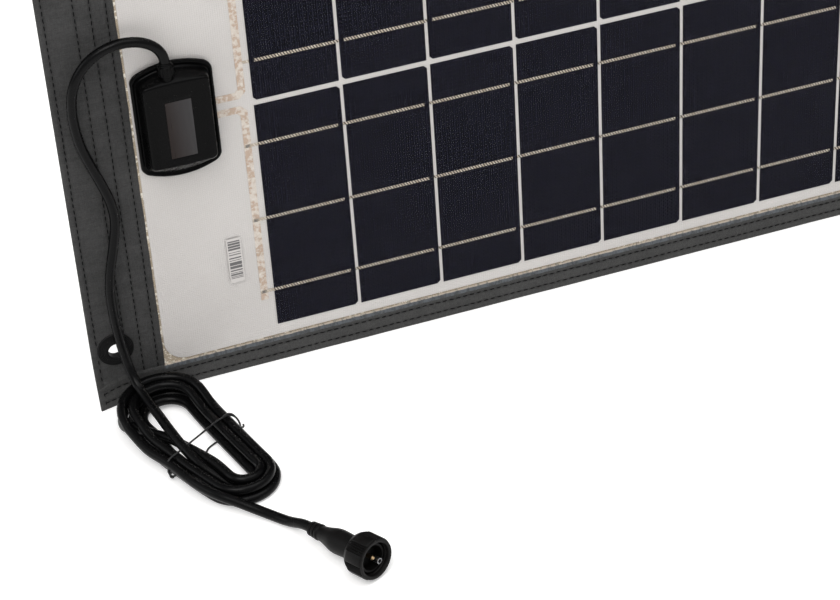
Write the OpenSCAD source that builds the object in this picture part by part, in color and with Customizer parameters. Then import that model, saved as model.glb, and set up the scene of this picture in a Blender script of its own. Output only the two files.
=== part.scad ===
// Flexible solar sheet: a cloth-backed laminate of cells with sewn fabric borders, four eyelets,
// a bonded junction box and a lead that ends in a round two-pole plug.
// +X runs along the sheet, +Z is up and the sun side faces -Y.
// The origin is on the axis of the top left eyelet, in the plane of the back cloth's rear face.

/* [Cells] */
// Width of one cell, along the sheet
cell_w = 52; // [40:1:80]
// Height of one cell
cell_h = 156; // [120:1:160]
// Gap between two cells of a row
cell_gap = 2; // [1:0.5:4]
// Gap between the two rows
row_gap = 3.4; // [2:0.2:8]
// Cells in each row
columns = 18; // [6:1:20]
// Leg of the cut corners of a cell
cell_cut = 2; // [1:0.5:10]

/* [Sheet] */
// Clear strip between the left border and the first cell, which holds the junction box
left_margin = 72.5; // [64:0.5:110]
// Clear strip between the last cell and the right border
right_margin = 24; // [14:1:60]
// Clear strip above and below the cells
cell_margin = 8.8; // [5:0.2:30]
// Width of the two side borders
side_border_w = 43.5; // [36:0.5:60]
// Height of the top and bottom bindings
binding_h = 18.2; // [16:0.2:30]
// Gap between the laminate and the border fabric round it
laminate_gap = 1.2; // [0.4:0.2:3]
// Radius of the laminate's corners
laminate_corner_r = 14; // [4:1:20]
// Width of the glass fibre carrier hidden under the borders
carrier_lap = 12; // [6:1:16]

/* [Layers] */
// Thickness of the back cloth
cloth_t = 0.6; // [0.4:0.1:1.2]
// Thickness of the glass fibre carrier
carrier_t = 0.6; // [0.4:0.1:1.5]
// Thickness of the white back film
back_film_t = 0.3; // [0.2:0.05:0.6]
// Thickness of the rear encapsulant
rear_encap_t = 0.3; // [0.2:0.05:0.8]
// Thickness of a cell
cell_t = 0.2; // [0.15:0.05:0.4]
// Thickness of a tab ribbon
tab_t = 0.1; // [0.1:0.05:0.2]
// Thickness of the front encapsulant over the ribbons
encap_cover_t = 0.25; // [0.2:0.05:0.8]
// Thickness of the clear front film
front_film_t = 0.15; // [0.1:0.05:0.4]
// Thickness of the border fabric
border_t = 0.7; // [0.5:0.1:1.2]

/* [Ribbons] */
// Width of a tab ribbon
tab_w = 2; // [1:0.1:3]
// Distance between the tab ribbons of a cell
tab_pitch = 52; // [30:1:52]
// Bare end of a cell past its tab ribbon
tab_stop = 3; // [1:0.5:8]
// Width of a bus ribbon
bus_w = 4.5; // [3:0.5:6]
// Thickness of a bus ribbon
bus_t = 0.3; // [0.2:0.05:0.4]
// Gap between a bus ribbon and the end cell
bus_gap = 4; // [3:0.5:6]

/* [Eyelets] */
// Distance of an eyelet from the sheet's side edge
eyelet_in_x = 15; // [14:0.5:22]
// Distance of an eyelet from the sheet's top or bottom edge
eyelet_in_z = 38.5; // [34:0.5:60]
// Bore of an eyelet
eyelet_bore = 9.5; // [6:0.5:12]
// Outside diameter of an eyelet's face
eyelet_od = 22.5; // [20:0.5:28]
// Wall of an eyelet's barrel
eyelet_wall = 1; // [0.8:0.1:1.6]
// How far an eyelet's face stands off the fabric
eyelet_face_h = 2.4; // [1.6:0.1:4]
// Thickness of the washer at the back
washer_t = 1; // [0.8:0.1:2]

/* [Junction box] */
// Width of the box's flange
box_w = 48; // [44:1:60]
// Height of the box's flange, over its bowed ends
box_h = 75; // [68:1:90]
// How far the flange's ends are bowed
box_bow = 6; // [3:0.5:8]
// Distance from the laminate window's left side to the box's centre
box_in_x = 26; // [25.5:0.5:40]
// Height of the box's centre over the gap between the rows
box_up = 3.3; // [-10:0.1:10]
// Thickness of the flange
flange_t = 3; // [2:0.2:4]
// Depth of the whole box
box_d = 13; // [12:0.5:20]
// Wall of the lid
lid_wall = 1.6; // [1.2:0.1:2]
// Thickness of the adhesive pad
bond_t = 0.4; // [0.2:0.1:1]
// Distance of the cord's gland to the left of the box's centre
gland_left = 3.5; // [0:0.5:8]

/* [Cord and plug] */
// Diameter of the cord
cord_d = 6; // [5:0.2:7]
// Length of the plug's ribbed tail
tail_l = 8; // [6:0.5:12]
// Length of the plug's body between tail and coupling ring
body_l = 28; // [22:1:40]
// Largest diameter of the plug's body
body_d = 14.5; // [14:0.5:15.5]
// Length of the coupling ring
ring_l = 15; // [14:0.5:22]
// Outside diameter of the coupling ring
ring_d = 25; // [24:0.5:30]
// Grip ribs round the coupling ring
ring_ribs = 6; // [4:1:8]
// Clearance between the coupling ring and the body that it turns on
ring_gap = 0.3; // [0.2:0.05:0.5]
// Diameter of a contact pin
pin_d = 2.5; // [2:0.1:3]
// Distance between the two contacts
pole_pitch = 4.4; // [4.2:0.1:4.6]

/* [Hidden] */
$fn = 64;
eps = 0.01;

// Sheet outline, seen from the sun side
pitch = cell_w + cell_gap;
field_w = columns * pitch - cell_gap;
field_h = 2 * cell_h + row_gap;
sheet_w = 2 * side_border_w + left_margin + field_w + right_margin;
sheet_h = 2 * binding_h + 2 * cell_margin + field_h;
left_x = -eyelet_in_x;
right_x = left_x + sheet_w;
top_z = eyelet_in_z;
floor_z = top_z - sheet_h;
mid_z = (top_z + floor_z) / 2;
win_x = left_x + side_border_w;
win_w = sheet_w - 2 * side_border_w;
win_z = floor_z + binding_h;
win_h = sheet_h - 2 * binding_h;
cells_x = win_x + left_margin;

// Depths of the layers, counted from the back cloth's rear face towards the sun
carrier_y = cloth_t;
back_film_y = carrier_y + carrier_t;
rear_encap_y = back_film_y + back_film_t;
pocket_y = rear_encap_y + rear_encap_t;
cell_y = pocket_y + tab_t;
tab_y = cell_y + cell_t;
cover_y = max(tab_y + tab_t, pocket_y + bus_t);
film_y = cover_y + encap_cover_t;
face_y = film_y + front_film_t;
border_y = back_film_y + border_t;
binding_t = 0.6;

// Seams, as distances from the outer edge of their border
side_seams = [3.8, side_border_w - 22.4, side_border_w - 13.3, side_border_w - 4.3];
binding_seams = [5.1, 12.3];
thread_w = 0.7;
thread_t = 0.3;

// Ribbons
bus_left_x = cells_x - bus_gap - bus_w / 2;
bus_right_x = cells_x + field_w + bus_gap + bus_w / 2;
bus_reach = row_gap / 2 + cell_h / 2 + tab_pitch + 6;
lead_split = 4.7;
box_x = win_x + box_in_x;
box_z = mid_z + box_up;
clip_x = box_x + 12;
clip_size = [8, 3, 4.2];
ribbon_port = [6, 16];

// Junction box
base_t = 1.6;
box_y = face_y + bond_t;
lid_y = box_y + flange_t;
flange_step = 4.5;
body_slope = 1;
top_slope = 4;
bottom_slope = 8;
gland_x = box_x - gland_left;
gland_z = box_z + box_h / 2 - flange_step - top_slope;
gland_bore = cord_d + 0.2;
spigot_d = cord_d + 1.6;
spigot_l = 4.2 + (cord_d - 6);
nut_d = cord_d + 2.6;
gland_y = lid_y + nut_d / 2 + 0.1;
nut_l = 6.2;
seal_l = 1.4;
label_size = [15.5, 37];
id_label_size = [9, 31.5];
id_label_in = [46.3, 119.5];

// Eyelets
bore_r = eyelet_bore / 2;
barrel_r = bore_r + eyelet_wall;

// Cord: the route from the gland to the hank, and from the hank to the plug. It was laid out for a floor
// and a gland in these places. Its top follows the gland, and what lies below lying_h follows the floor
cord_sides = 10;
route_floor = -330.9;
route_gland = [51, -10.4, -113.9];
lying_h = 25;
rigid_h = 197;
run_route = [[51, -10.4, -122], [51, -10.4, -112], [51, -10.4, -102], [49.4, -10.4, -95.5],
    [45, -10.4, -90], [37.5, -10.4, -86], [28.5, -10.3, -84.6], [19.5, -10, -86],
    [12, -9.5, -89.5], [5.5, -9, -95], [0.3, -8.5, -102.5], [-3, -8, -111.5], [-4.2, -7.5, -121],
    [-4.2, -7, -131], [-2.5, -6.6, -145], [1.3, -6.4, -159], [6, -6.4, -173.5],
    [9.6, -6.4, -187], [10.5, -6.5, -200], [7.8, -6.7, -215], [3.8, -7, -231], [1.5, -7.3, -245],
    [1, -7.6, -259], [1.8, -8, -275], [3.3, -8.8, -290], [5.2, -12, -302.5], [7.6, -20, -311],
    [10, -32, -314.5], [12.4, -46, -315], [15.4, -62, -316], [19.6, -78, -318.6],
    [25, -92, -322]];
tail_route = [[0.7, -66.3, -322.4], [9.3, -84.2, -322.4], [17, -106.3, -322.1], [25, -120.3, -322.4],
    [36.4, -131.6, -324.4], [47.7, -142.7, -326.7], [57.4, -154.4, -326.9]];
hank_centre = [31.2, -68];
hank_angle = -71.4;
hank_l = 130;
hank_w = 57;
hank_h = 12;
hank_lift = 1.2;
hank_hole_w = 17.6;
tie_t = 0.9;
tie_w = 1.6;
tie_x = 13;
tie_turn = 15;

// Plug: it lies on its coupling ring with the cord end low
plug_turn = -63;
plug_tilt = 6;
ring_back = tail_l + body_l;
plug_l = ring_back + ring_l;
plug_xy = [67, -171.8];
plug_z = floor_z + ring_d / 2 * cos(plug_tilt) - ring_back * sin(plug_tilt) + 0.1;
neck_d = body_d + 1;
flange_d = neck_d + 2.4;
flange_l = 2;
flange_s = ring_back + 2.6;
mouth_d = 19.4;
insert_d = 17;
contact_turn = 42;
pin_out = 1.8;
socket_d = 3.6;
insert_s = flange_s + flange_l;
insert_l = plug_l - insert_s - 3;

// ---- helpers ----

// A flat piece: an outline in X and Z, between two depths towards the sun
module layer(y0, y1) {
    translate([0, -y0, 0]) rotate([90, 0, 0]) linear_extrude(y1 - y0) children();
}

// A rectangle from its lower left corner
module rect(x, z, w, h) {
    translate([x, z]) square([w, h]);
}

// The laminate's outline, with round corners, grown or shrunk
module laminate_outline(grow = 0) {
    x = win_x + laminate_gap - grow;
    z = win_z + laminate_gap - grow;
    w = win_w - 2 * laminate_gap + 2 * grow;
    h = win_h - 2 * laminate_gap + 2 * grow;
    r = laminate_corner_r;
    union() {
        rect(x + r, z, w - 2 * r, h);
        rect(x, z + r, w, h - 2 * r);
        for (cx = [x + r, x + w - r], cz = [z + r, z + h - r]) translate([cx, cz]) circle(r);
    }
}

// Puts its children at each of the four eyelets
module at_eyelets() {
    for (x = [0, sheet_w - 2 * eyelet_in_x], z = [0, -(sheet_h - 2 * eyelet_in_z)])
        translate([x, 0, z]) children();
}

// A round piece turned about an eyelet's axis, from an outline of radius and depth
module eyelet_turned() {
    rotate([90, 0, 0]) rotate_extrude() children();
}

// Holes for the eyelet barrels
module barrel_holes(y0, y1) {
    at_eyelets() translate([0, -y0 + eps, 0]) rotate([90, 0, 0]) cylinder(h = y1 - y0 + 2 * eps, r = barrel_r);
}

// The outline of one cell, with two cut corners: side is 1 for the right corners, -1 for the left
module cell_outline(side) {
    c = cell_cut;
    x0 = side > 0 ? 0 : c;
    x1 = side > 0 ? cell_w - c : cell_w;
    polygon(side > 0
        ? [[0, 0], [x1, 0], [cell_w, c], [cell_w, cell_h - c], [x1, cell_h], [0, cell_h]]
        : [[0, c], [x0, 0], [cell_w, 0], [cell_w, cell_h], [x0, cell_h], [0, cell_h - c]]);
}

// One row of cells
module cell_row(z, side) {
    layer(cell_y, tab_y) for (i = [0 : columns - 1]) translate([cells_x + i * pitch, z]) cell_outline(side);
}

// One tab ribbon: along the front of a cell, down through the gap and behind the next cell.
// side is 1 when the ribbon steps down at its cell's left edge, and -1 at its right edge
module tab_ribbon(side) {
    front_l = cell_w - tab_stop;
    rear_l = cell_w / 3;
    step = cell_gap / 2;
    profile = [[0, -tab_y], [front_l, -tab_y], [front_l, -tab_y - tab_t], [-step, -tab_y - tab_t],
        [-step, -cell_y], [-cell_gap - rear_l, -cell_y], [-cell_gap - rear_l, -pocket_y],
        [-step + tab_t, -pocket_y], [-step + tab_t, -tab_y]];
    x = side > 0 ? 0 : cell_w;
    translate([x, 0, -tab_w / 2]) mirror([side > 0 ? 0 : 1, 0, 0]) linear_extrude(tab_w) polygon(profile);
}

// The first ribbons of a string lie over the bus ribbon, without a rear part
module end_tab(side) {
    front_l = cell_w - tab_stop;
    reach = bus_gap + bus_w;
    x = side > 0 ? 0 : cell_w;
    translate([x, 0, -tab_w / 2]) mirror([side > 0 ? 0 : 1, 0, 0]) linear_extrude(tab_w)
        polygon([[-reach, -tab_y], [front_l, -tab_y], [front_l, -tab_y - tab_t], [-reach, -tab_y - tab_t]]);
}

// The rear ribbons at the other end of a string, from behind the end cell to its bus ribbon
module rear_tab(side) {
    rear_l = cell_w / 3;
    x = side > 0 ? cell_w : 0;
    translate([x, 0, -tab_w / 2]) mirror([side > 0 ? 0 : 1, 0, 0]) linear_extrude(tab_w)
        polygon([[-rear_l, -pocket_y], [bus_gap, -pocket_y], [bus_gap, -cell_y], [-rear_l, -cell_y]]);
}

// All tab ribbons of a row
module tab_row(z, side) {
    first = side > 0 ? 0 : columns - 1;
    last = columns - 1 - first;
    for (k = [-1 : 1]) translate([cells_x, 0, z + cell_h / 2 + k * tab_pitch]) {
        for (i = [0 : columns - 1]) translate([i * pitch, 0, 0]) if (i == first) end_tab(side); else tab_ribbon(side);
        translate([last * pitch, 0, 0]) rear_tab(side);
    }
}

// The outline of a bus ribbon beside a row, with its lead to the junction box; up is 1 or -1
module bus_outline(up) {
    lead_z = mid_z + box_up - 1 + up * lead_split;
    far_z = mid_z + up * bus_reach;
    w = bus_w;
    turn = 4;
    x = bus_left_x;
    polygon([[x - w / 2, far_z], [x + w / 2, far_z], [x + w / 2, lead_z + up * (turn - w / 2)],
        [x + w / 2 - turn, lead_z - up * w / 2], [clip_x + clip_size[0] / 2, lead_z - up * w / 2],
        [clip_x + clip_size[0] / 2, lead_z + up * w / 2], [x - w / 2 - turn / 2, lead_z + up * w / 2],
        [x - w / 2, lead_z + up * (w / 2 + turn / 2)]]);
}

// A bus ribbon and the end that rises to its terminal clip
module bus_ribbon(up) {
    lead_z = mid_z + box_up - 1 + up * lead_split;
    union() {
        layer(pocket_y, pocket_y + bus_t) bus_outline(up);
        layer(pocket_y, box_y + base_t + clip_size[1])
            rect(clip_x + clip_size[0] / 2, lead_z - bus_w / 2, bus_t, bus_w);
    }
}

// The ribbon that joins the two rows at the right end
module end_bus_outline() {
    rect(bus_right_x - bus_w / 2, mid_z - bus_reach, bus_w, 2 * bus_reach);
}

// The hollow in the front encapsulant that the cells and ribbons lie in
module pocket_outline() {
    slack = 0.5;
    rect(cells_x - slack, mid_z - field_h / 2 - slack, field_w + 2 * slack, field_h + 2 * slack);
    for (up = [-1, 1]) bus_outline(up);
    end_bus_outline();
    for (up = [-1, 1], k = [-1 : 1]) {
        z = mid_z + up * (row_gap / 2 + cell_h / 2) + k * tab_pitch - tab_w / 2;
        rect(bus_left_x, z, cells_x - bus_left_x, tab_w);
        rect(cells_x + field_w, z, bus_right_x - cells_x - field_w, tab_w);
    }
}

// The port that the bus ribbons rise through
module port_outline(grow = 0) {
    size = [ribbon_port[0] + 2 * grow, ribbon_port[1] + 2 * grow];
    translate([clip_x + clip_size[0] / 2 + 1, mid_z + box_up - 1]) square(size, center = true);
}

// The junction box's outline with bowed ends, shrunk on all sides
module box_outline(inset = 0, r = 4) {
    w = box_w / 2 - inset;
    h = box_h / 2 - inset;
    bow_r = (w * w + box_bow * box_bow) / (2 * box_bow);
    translate([box_x, box_z]) offset(r = r) offset(delta = -r) intersection() {
        square([2 * w, 2 * h], center = true);
        translate([0, h - bow_r]) circle(bow_r, $fn = 180);
        translate([0, -h + bow_r]) circle(bow_r, $fn = 180);
    }
}

// Outline of the lid's body: a rectangle with bowed ends, as half width, rise, drop and bow
function bowed(w, up, down, bow) = let(n = 10) concat(
    [for (i = [0 : n]) let(x = w - 2 * w * i / n) [box_x + x, box_z + up - bow * pow(x / w, 2)]],
    [for (i = [0 : n]) let(x = 2 * w * i / n - w) [box_x + x, box_z - down + bow * pow(x / w, 2)]]);

// The lid's raised body between two depths, shrunk by a wall
module lid_body(y0, y1, wall) {
    inset = flange_step + wall;
    w = box_w / 2 - inset;
    h = box_h / 2 - inset;
    edge = 1;
    rings = [[y0, bowed(w, h, h, box_bow - 1)],
        [y1 - edge, bowed(w - body_slope, h - top_slope, h - bottom_slope, 0.8)],
        [y1, bowed(w - body_slope - edge, h - top_slope - edge, h - bottom_slope - edge, 0.6)]];
    n = len(rings[0][1]);
    polyhedron([for (r = rings, p = r[1]) [p[0], -r[0], p[1]]],
        concat([[for (k = [0 : n - 1]) k], [for (k = [n - 1 : -1 : 0]) 2 * n + k]],
            [for (i = [0, 1], k = [0 : n - 1]) let(j = (k + 1) % n) [i * n + k, (i + 1) * n + k, (i + 1) * n + j]],
            [for (i = [0, 1], k = [0 : n - 1]) let(j = (k + 1) % n) [i * n + k, (i + 1) * n + j, i * n + j]]));
}

// Puts its children on the gland's axis, +Z outwards
module at_gland() {
    translate([gland_x, -gland_y, gland_z]) children();
}

// Frame vectors along a route, for sweeping a round section along it
function unit(v) = v / norm(v);
function tangent(p, i) = unit(p[min(i + 1, len(p) - 1)] - p[max(i - 1, 0)]);
function carried(n, t) = unit(n - (n * t) * t);
function normals(p, i, n) = i == len(p) ? [] :
    let(m = carried(n, tangent(p, i))) concat([m], normals(p, i + 1, m));

// A closed tube of one diameter along the points of a route
module tube(p, d, sides) {
    n0 = abs(tangent(p, 0)[2]) < 0.9 ? [0, 0, 1] : [1, 0, 0];
    n = normals(p, 0, n0);
    last = len(p) - 1;
    rings = [for (i = [0 : last], k = [0 : sides - 1])
        let(t = tangent(p, i), b = cross(t, n[i]), a = 360 * k / sides)
        p[i] + d / 2 * (cos(a) * n[i] + sin(a) * b)];
    sides_faces = [for (i = [0 : last - 1], k = [0 : sides - 1])
        let(j = (k + 1) % sides) [i * sides + k, (i + 1) * sides + k, (i + 1) * sides + j, i * sides + j]];
    start_cap = [for (k = [0 : sides - 1]) k];
    end_cap = [for (k = [sides - 1 : -1 : 0]) last * sides + k];
    polyhedron(rings, concat([start_cap, end_cap], sides_faces));
}

// A route moved to where the floor and the gland really are
function settled(p) = [for (q = p)
    let(f = min(1, max(0, (q[2] - route_floor - lying_h) / (rigid_h - lying_h))))
    q + f * ([gland_x, -gland_y, gland_z] - route_gland) + (1 - f) * [0, 0, floor_z - route_floor]];

// The hank's frame: +X along its runs, on the surface that it lies on
module in_hank() {
    translate([hank_centre[0], hank_centre[1], floor_z]) rotate([0, 0, hank_angle]) children();
}

// A stadium outline along X
module stadium(l, w) {
    square([l - w, w], center = true);
    for (x = [-1, 1]) translate([x * (l - w) / 2, 0]) circle(w / 2);
}

// The plug's frame: +Z along its axis, from the cord's end to the mouth
module in_plug() {
    translate([plug_xy[0], plug_xy[1], plug_z]) rotate([0, 0, plug_turn]) rotate([0, 90 - plug_tilt, 0]) children();
}

// Places of the two contacts in the plug's face
module at_pin() {
    rotate([0, 0, contact_turn]) translate([pin_out, 0, 0]) children();
}

module at_socket() {
    rotate([0, 0, contact_turn]) translate([pin_out + pole_pitch, 0, 0]) children();
}

// The thread of the seams: each seam is one line of stitches, and the eyelets interrupt those of the sides
module seam_lines() {
    layer(border_y, border_y + thread_t) difference() {
        for (s = side_seams, side = [0, 1]) {
            x = side == 0 ? left_x + s : right_x - s;
            rect(x - thread_w / 2, floor_z + binding_h + 0.5, thread_w, sheet_h - 2 * binding_h - 1);
        }
        for (x = [0, sheet_w - 2 * eyelet_in_x], z = [0, -(sheet_h - 2 * eyelet_in_z)])
            translate([x, z]) circle(eyelet_od / 2 + 0.5);
    }
    for (s = binding_seams, side = [0, 1]) {
        z = side == 0 ? floor_z + s : top_z - s;
        layer(border_y + binding_t, border_y + binding_t + thread_t)
            rect(left_x + 3, z - thread_w / 2, sheet_w - 6, thread_w);
    }
}

// One side border: a folded strip with its inner side on the carrier
module side_border(x, side) {
    lap_x = side > 0 ? x + side_border_w - carrier_lap : x;
    difference() {
        union() {
            layer(back_film_y, border_y) rect(x, floor_z, side_border_w, sheet_h);
            layer(cloth_t, back_film_y)
                rect(side > 0 ? x : x + carrier_lap, floor_z, side_border_w - carrier_lap, sheet_h);
        }
        barrel_holes(cloth_t, border_y);
    }
}

// One binding: a folded strip along the top or bottom that laps over the side borders
module binding(z, side) {
    carrier_z = side > 0 ? z + binding_h - carrier_lap : z;
    union() {
        layer(border_y, border_y + binding_t) rect(left_x, z, sheet_w, binding_h);
        layer(back_film_y, border_y) rect(win_x, z, win_w, binding_h);
        layer(cloth_t, back_film_y)
            rect(win_x, side > 0 ? z : z + carrier_lap, win_w, binding_h - carrier_lap);
    }
}

// ---- sheet ----

module back_cloth() {
    color("dimgray") difference() {
        layer(0, cloth_t) rect(left_x, floor_z, sheet_w, sheet_h);
        barrel_holes(0, cloth_t);
    }
}

module carrier_sheet() {
    color("wheat") layer(carrier_y, back_film_y)
        rect(win_x - carrier_lap, win_z - carrier_lap, win_w + 2 * carrier_lap, win_h + 2 * carrier_lap);
}

module back_film() {
    color("white") layer(back_film_y, rear_encap_y) laminate_outline();
}

module rear_encapsulant() {
    color("whitesmoke") layer(rear_encap_y, pocket_y) laminate_outline();
}

module upper_cells() {
    color("midnightblue") cell_row(mid_z + row_gap / 2, -1);
}

module lower_cells() {
    color("midnightblue") cell_row(mid_z - row_gap / 2 - cell_h, 1);
}

module upper_tab_ribbons() {
    color("silver") tab_row(mid_z + row_gap / 2, -1);
}

module lower_tab_ribbons() {
    color("silver") tab_row(mid_z - row_gap / 2 - cell_h, 1);
}

module upper_bus_ribbon() {
    color("tan") bus_ribbon(1);
}

module lower_bus_ribbon() {
    color("tan") bus_ribbon(-1);
}

module end_bus_ribbon() {
    color("tan") layer(pocket_y, pocket_y + bus_t) end_bus_outline();
}

module front_encapsulant() {
    color("whitesmoke", 0.5) difference() {
        layer(pocket_y, film_y) laminate_outline();
        layer(pocket_y - eps, cover_y) pocket_outline();
        layer(pocket_y - eps, film_y + eps) port_outline();
    }
}

module front_film() {
    color("white", 0.5) difference() {
        layer(film_y, face_y) laminate_outline();
        layer(film_y - eps, face_y + eps) port_outline();
    }
}

module id_label() {
    color("ivory") layer(face_y, face_y + 0.1)
        rect(win_x + id_label_in[0], mid_z - id_label_in[1], id_label_size[0], id_label_size[1]);
}

module left_border() {
    color("dimgray") side_border(left_x, 1);
}

module right_border() {
    color("dimgray") side_border(right_x - side_border_w, -1);
}

module top_binding() {
    color("gray") binding(top_z - binding_h, -1);
}

module bottom_binding() {
    color("gray") binding(floor_z, 1);
}

module border_thread() {
    color("black") seam_lines();
}

// ---- eyelets ----

module eyelet_rings() {
    face = border_y + eyelet_face_h;
    r = eyelet_od / 2;
    color("black") at_eyelets() eyelet_turned() difference() {
        polygon([[bore_r, -washer_t], [barrel_r, -washer_t], [barrel_r, border_y], [r, border_y],
            [r, border_y + 0.6], [r - 1.5, face - 0.6], [r - 3, face - 0.2], [barrel_r + 1, face],
            [bore_r, face]]);
        for (groove = [r - 2.6, r - 4.4]) translate([groove, face]) circle(0.4, $fn = 16);
    }
}

module eyelet_washers() {
    color("black") at_eyelets() eyelet_turned()
        translate([barrel_r + 0.05, -washer_t]) square([eyelet_od / 2 - 2 - barrel_r, washer_t]);
}

// ---- junction box ----

module box_bond_pad() {
    color("white") difference() {
        layer(face_y, box_y) box_outline(2);
        layer(face_y - eps, box_y + eps) port_outline();
    }
}

module box_base() {
    color("black") difference() {
        layer(box_y, box_y + base_t) box_outline(3.1);
        layer(box_y - eps, box_y + base_t + eps) port_outline();
    }
}

module box_lid() {
    color("black") difference() {
        union() {
            layer(box_y, lid_y) box_outline();
            lid_body(lid_y - eps, face_y + box_d, 0);
            at_gland() translate([0, 0, -3]) cylinder(h = 3 + spigot_l + nut_l / 2, d = spigot_d);
        }
        layer(box_y - eps, box_y + base_t) box_outline(3);
        lid_body(box_y + base_t - eps, face_y + box_d - lid_wall, lid_wall);
        at_gland() translate([0, 0, -8]) cylinder(h = 20, d = gland_bore);
        layer(face_y + box_d - 0.4, face_y + box_d + 1)
            translate([box_x, box_z - 1]) square(label_size, center = true);
    }
}

module box_plate() {
    color("darkslategray") layer(face_y + box_d - 0.4, face_y + box_d)
        translate([box_x, box_z - 1]) square([label_size[0] - 0.2, label_size[1] - 0.2], center = true);
}

module terminal_clips() {
    color("gold") for (up = [-1, 1])
        layer(box_y + base_t, box_y + base_t + clip_size[1])
            translate([clip_x, mid_z + box_up - 1 + up * lead_split])
            square([clip_size[0], clip_size[2]], center = true);
}

module bypass_diode() {
    gap = 2 * lead_split - clip_size[2];
    color("black") translate([clip_x, -box_y - base_t - clip_size[1] / 2, mid_z + box_up - 1]) {
        cylinder(h = gap - 1.2, d = 2.7, center = true);
        cylinder(h = gap, d = 0.8, center = true);
    }
}

module cord_cores() {
    core_d = 2.2;
    start = settled(run_route)[0];
    clip_y = -box_y - base_t - clip_size[1] - core_d / 2;
    for (side = [-1, 1]) {
        end = [clip_x + side * 2, clip_y, mid_z + box_up - 1 + side * lead_split];
        first = start + [side * 1.3, 0, -0.5];
        color(side > 0 ? "red" : "black")
            tube([first, first + [0, 0, -2], (first + end) / 2 + [side, 0, 0], end + [0, 0, 3], end], core_d, 8);
    }
}

module gland_nut() {
    color("black") at_gland() translate([0, 0, spigot_l]) difference() {
        union() {
            cylinder(h = nut_l, d = nut_d);
            for (a = [0 : 45 : 315]) rotate([0, 0, a]) translate([nut_d / 2 - 0.3, 0, nut_l / 2])
                cube([0.8, 1, nut_l - 1], center = true);
        }
        translate([0, 0, -1]) cylinder(h = nut_l + 2, d = gland_bore);
        translate([0, 0, -1]) cylinder(h = nut_l / 2 + 1, d = spigot_d);
    }
}

module gland_seal() {
    color("black") at_gland() translate([0, 0, spigot_l + nut_l]) difference() {
        cylinder(h = seal_l, d1 = nut_d - 0.6, d2 = nut_d - 1.6);
        translate([0, 0, -1]) cylinder(h = seal_l + 2, d = gland_bore);
    }
}

// ---- cord ----

module cord_run() {
    color("black") tube(settled(run_route), cord_d, cord_sides);
}

module cord_hank() {
    color("black") in_hank() translate([0, 0, hank_lift]) linear_extrude(hank_h) difference() {
        stadium(hank_l, hank_w);
        stadium(hank_l - hank_w + hank_hole_w, hank_hole_w);
    }
}

module cord_tail() {
    plug_axis = [cos(plug_turn) * cos(plug_tilt), sin(plug_turn) * cos(plug_tilt), sin(plug_tilt)];
    plug_start = [plug_xy[0], plug_xy[1], plug_z];
    color("black") tube(concat(settled(tail_route), [plug_start - 7 * plug_axis, plug_start]), cord_d, cord_sides);
}

// The tie: a flat band round the hank's runs
module twist_tie() {
    band_w = hank_w / cos(tie_turn) + 2 * tie_t + 2 * tie_w;
    band_h = hank_h + 2 * tie_t + cord_d;
    color("black") in_hank() translate([tie_x, 0, hank_lift - tie_t]) rotate([0, 0, tie_turn]) difference() {
        translate([-tie_w / 2, -band_w / 2, 0]) cube([tie_w, band_w, band_h]);
        translate([-tie_w, -band_w / 2 + tie_t, tie_t])
            cube([2 * tie_w, band_w - 2 * tie_t, band_h - 2 * tie_t]);
    }
}

// ---- plug ----

module plug_body() {
    r = body_d / 2;
    neck = ring_back - 4;
    color("black") in_plug() difference() {
        union() {
            for (i = [0 : 2]) translate([0, 0, i * tail_l / 3]) cylinder(h = tail_l / 3 - 0.8, r = 4.3 + 0.25 * i);
            cylinder(h = tail_l, r = 3.8);
            translate([0, 0, tail_l - eps]) rotate_extrude() polygon([[0, 0], [4.6, 0], [5.2, 4],
                [r - 0.6, 10], [r, 14], [r - 0.2, 18], [r - 0.5, body_l - 2], [r, body_l],
                [neck_d / 2, body_l + 1], [neck_d / 2, flange_s - tail_l + eps], [0, flange_s - tail_l + eps]]);
            translate([0, 0, flange_s]) cylinder(h = flange_l, d = flange_d);
        }
        translate([0, 0, -1]) cylinder(h = 1, d = cord_d);
    }
}

module contact_insert() {
    cup = insert_l - 2;
    color("black") in_plug() translate([0, 0, insert_s]) difference() {
        union() {
            cylinder(h = insert_l, d = insert_d);
            translate([-insert_d / 2 - 0.6, -1, 0]) cube([1.6, 2, insert_l]);
        }
        translate([0, 0, insert_l - cup]) cylinder(h = cup + 1, d = insert_d - 2.2);
        at_pin() translate([0, 0, -1]) cylinder(h = insert_l, d = pin_d);
        at_socket() translate([0, 0, -1]) cylinder(h = insert_l + 2, d = socket_d);
        rotate([0, 0, contact_turn]) translate([-3.6, 0, 1]) cylinder(h = insert_l, d = 3.6);
    }
}

module contact_pin() {
    tip = 0.6;
    color("gold") in_plug() translate([0, 0, insert_s]) at_pin() union() {
        cylinder(h = insert_l - 0.6 - tip, d = pin_d);
        translate([0, 0, insert_l - 0.6 - tip]) cylinder(h = tip, d1 = pin_d, d2 = pin_d - 1);
    }
}

module contact_socket() {
    color("silver") in_plug() translate([0, 0, insert_s]) at_socket() difference() {
        cylinder(h = insert_l + 0.6, d = socket_d);
        translate([0, 0, 2]) cylinder(h = insert_l, d = socket_d - 1.2);
    }
}

module plug_seal() {
    color("firebrick") in_plug() translate([0, 0, insert_s]) difference() {
        cylinder(h = 1.2, d = insert_d + 1.6);
        translate([0, 0, -1]) cylinder(h = 4, d = insert_d);
        translate([-insert_d / 2 - 3, -1.1, -1]) cube([4, 2.2, 4]);
    }
}

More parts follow.
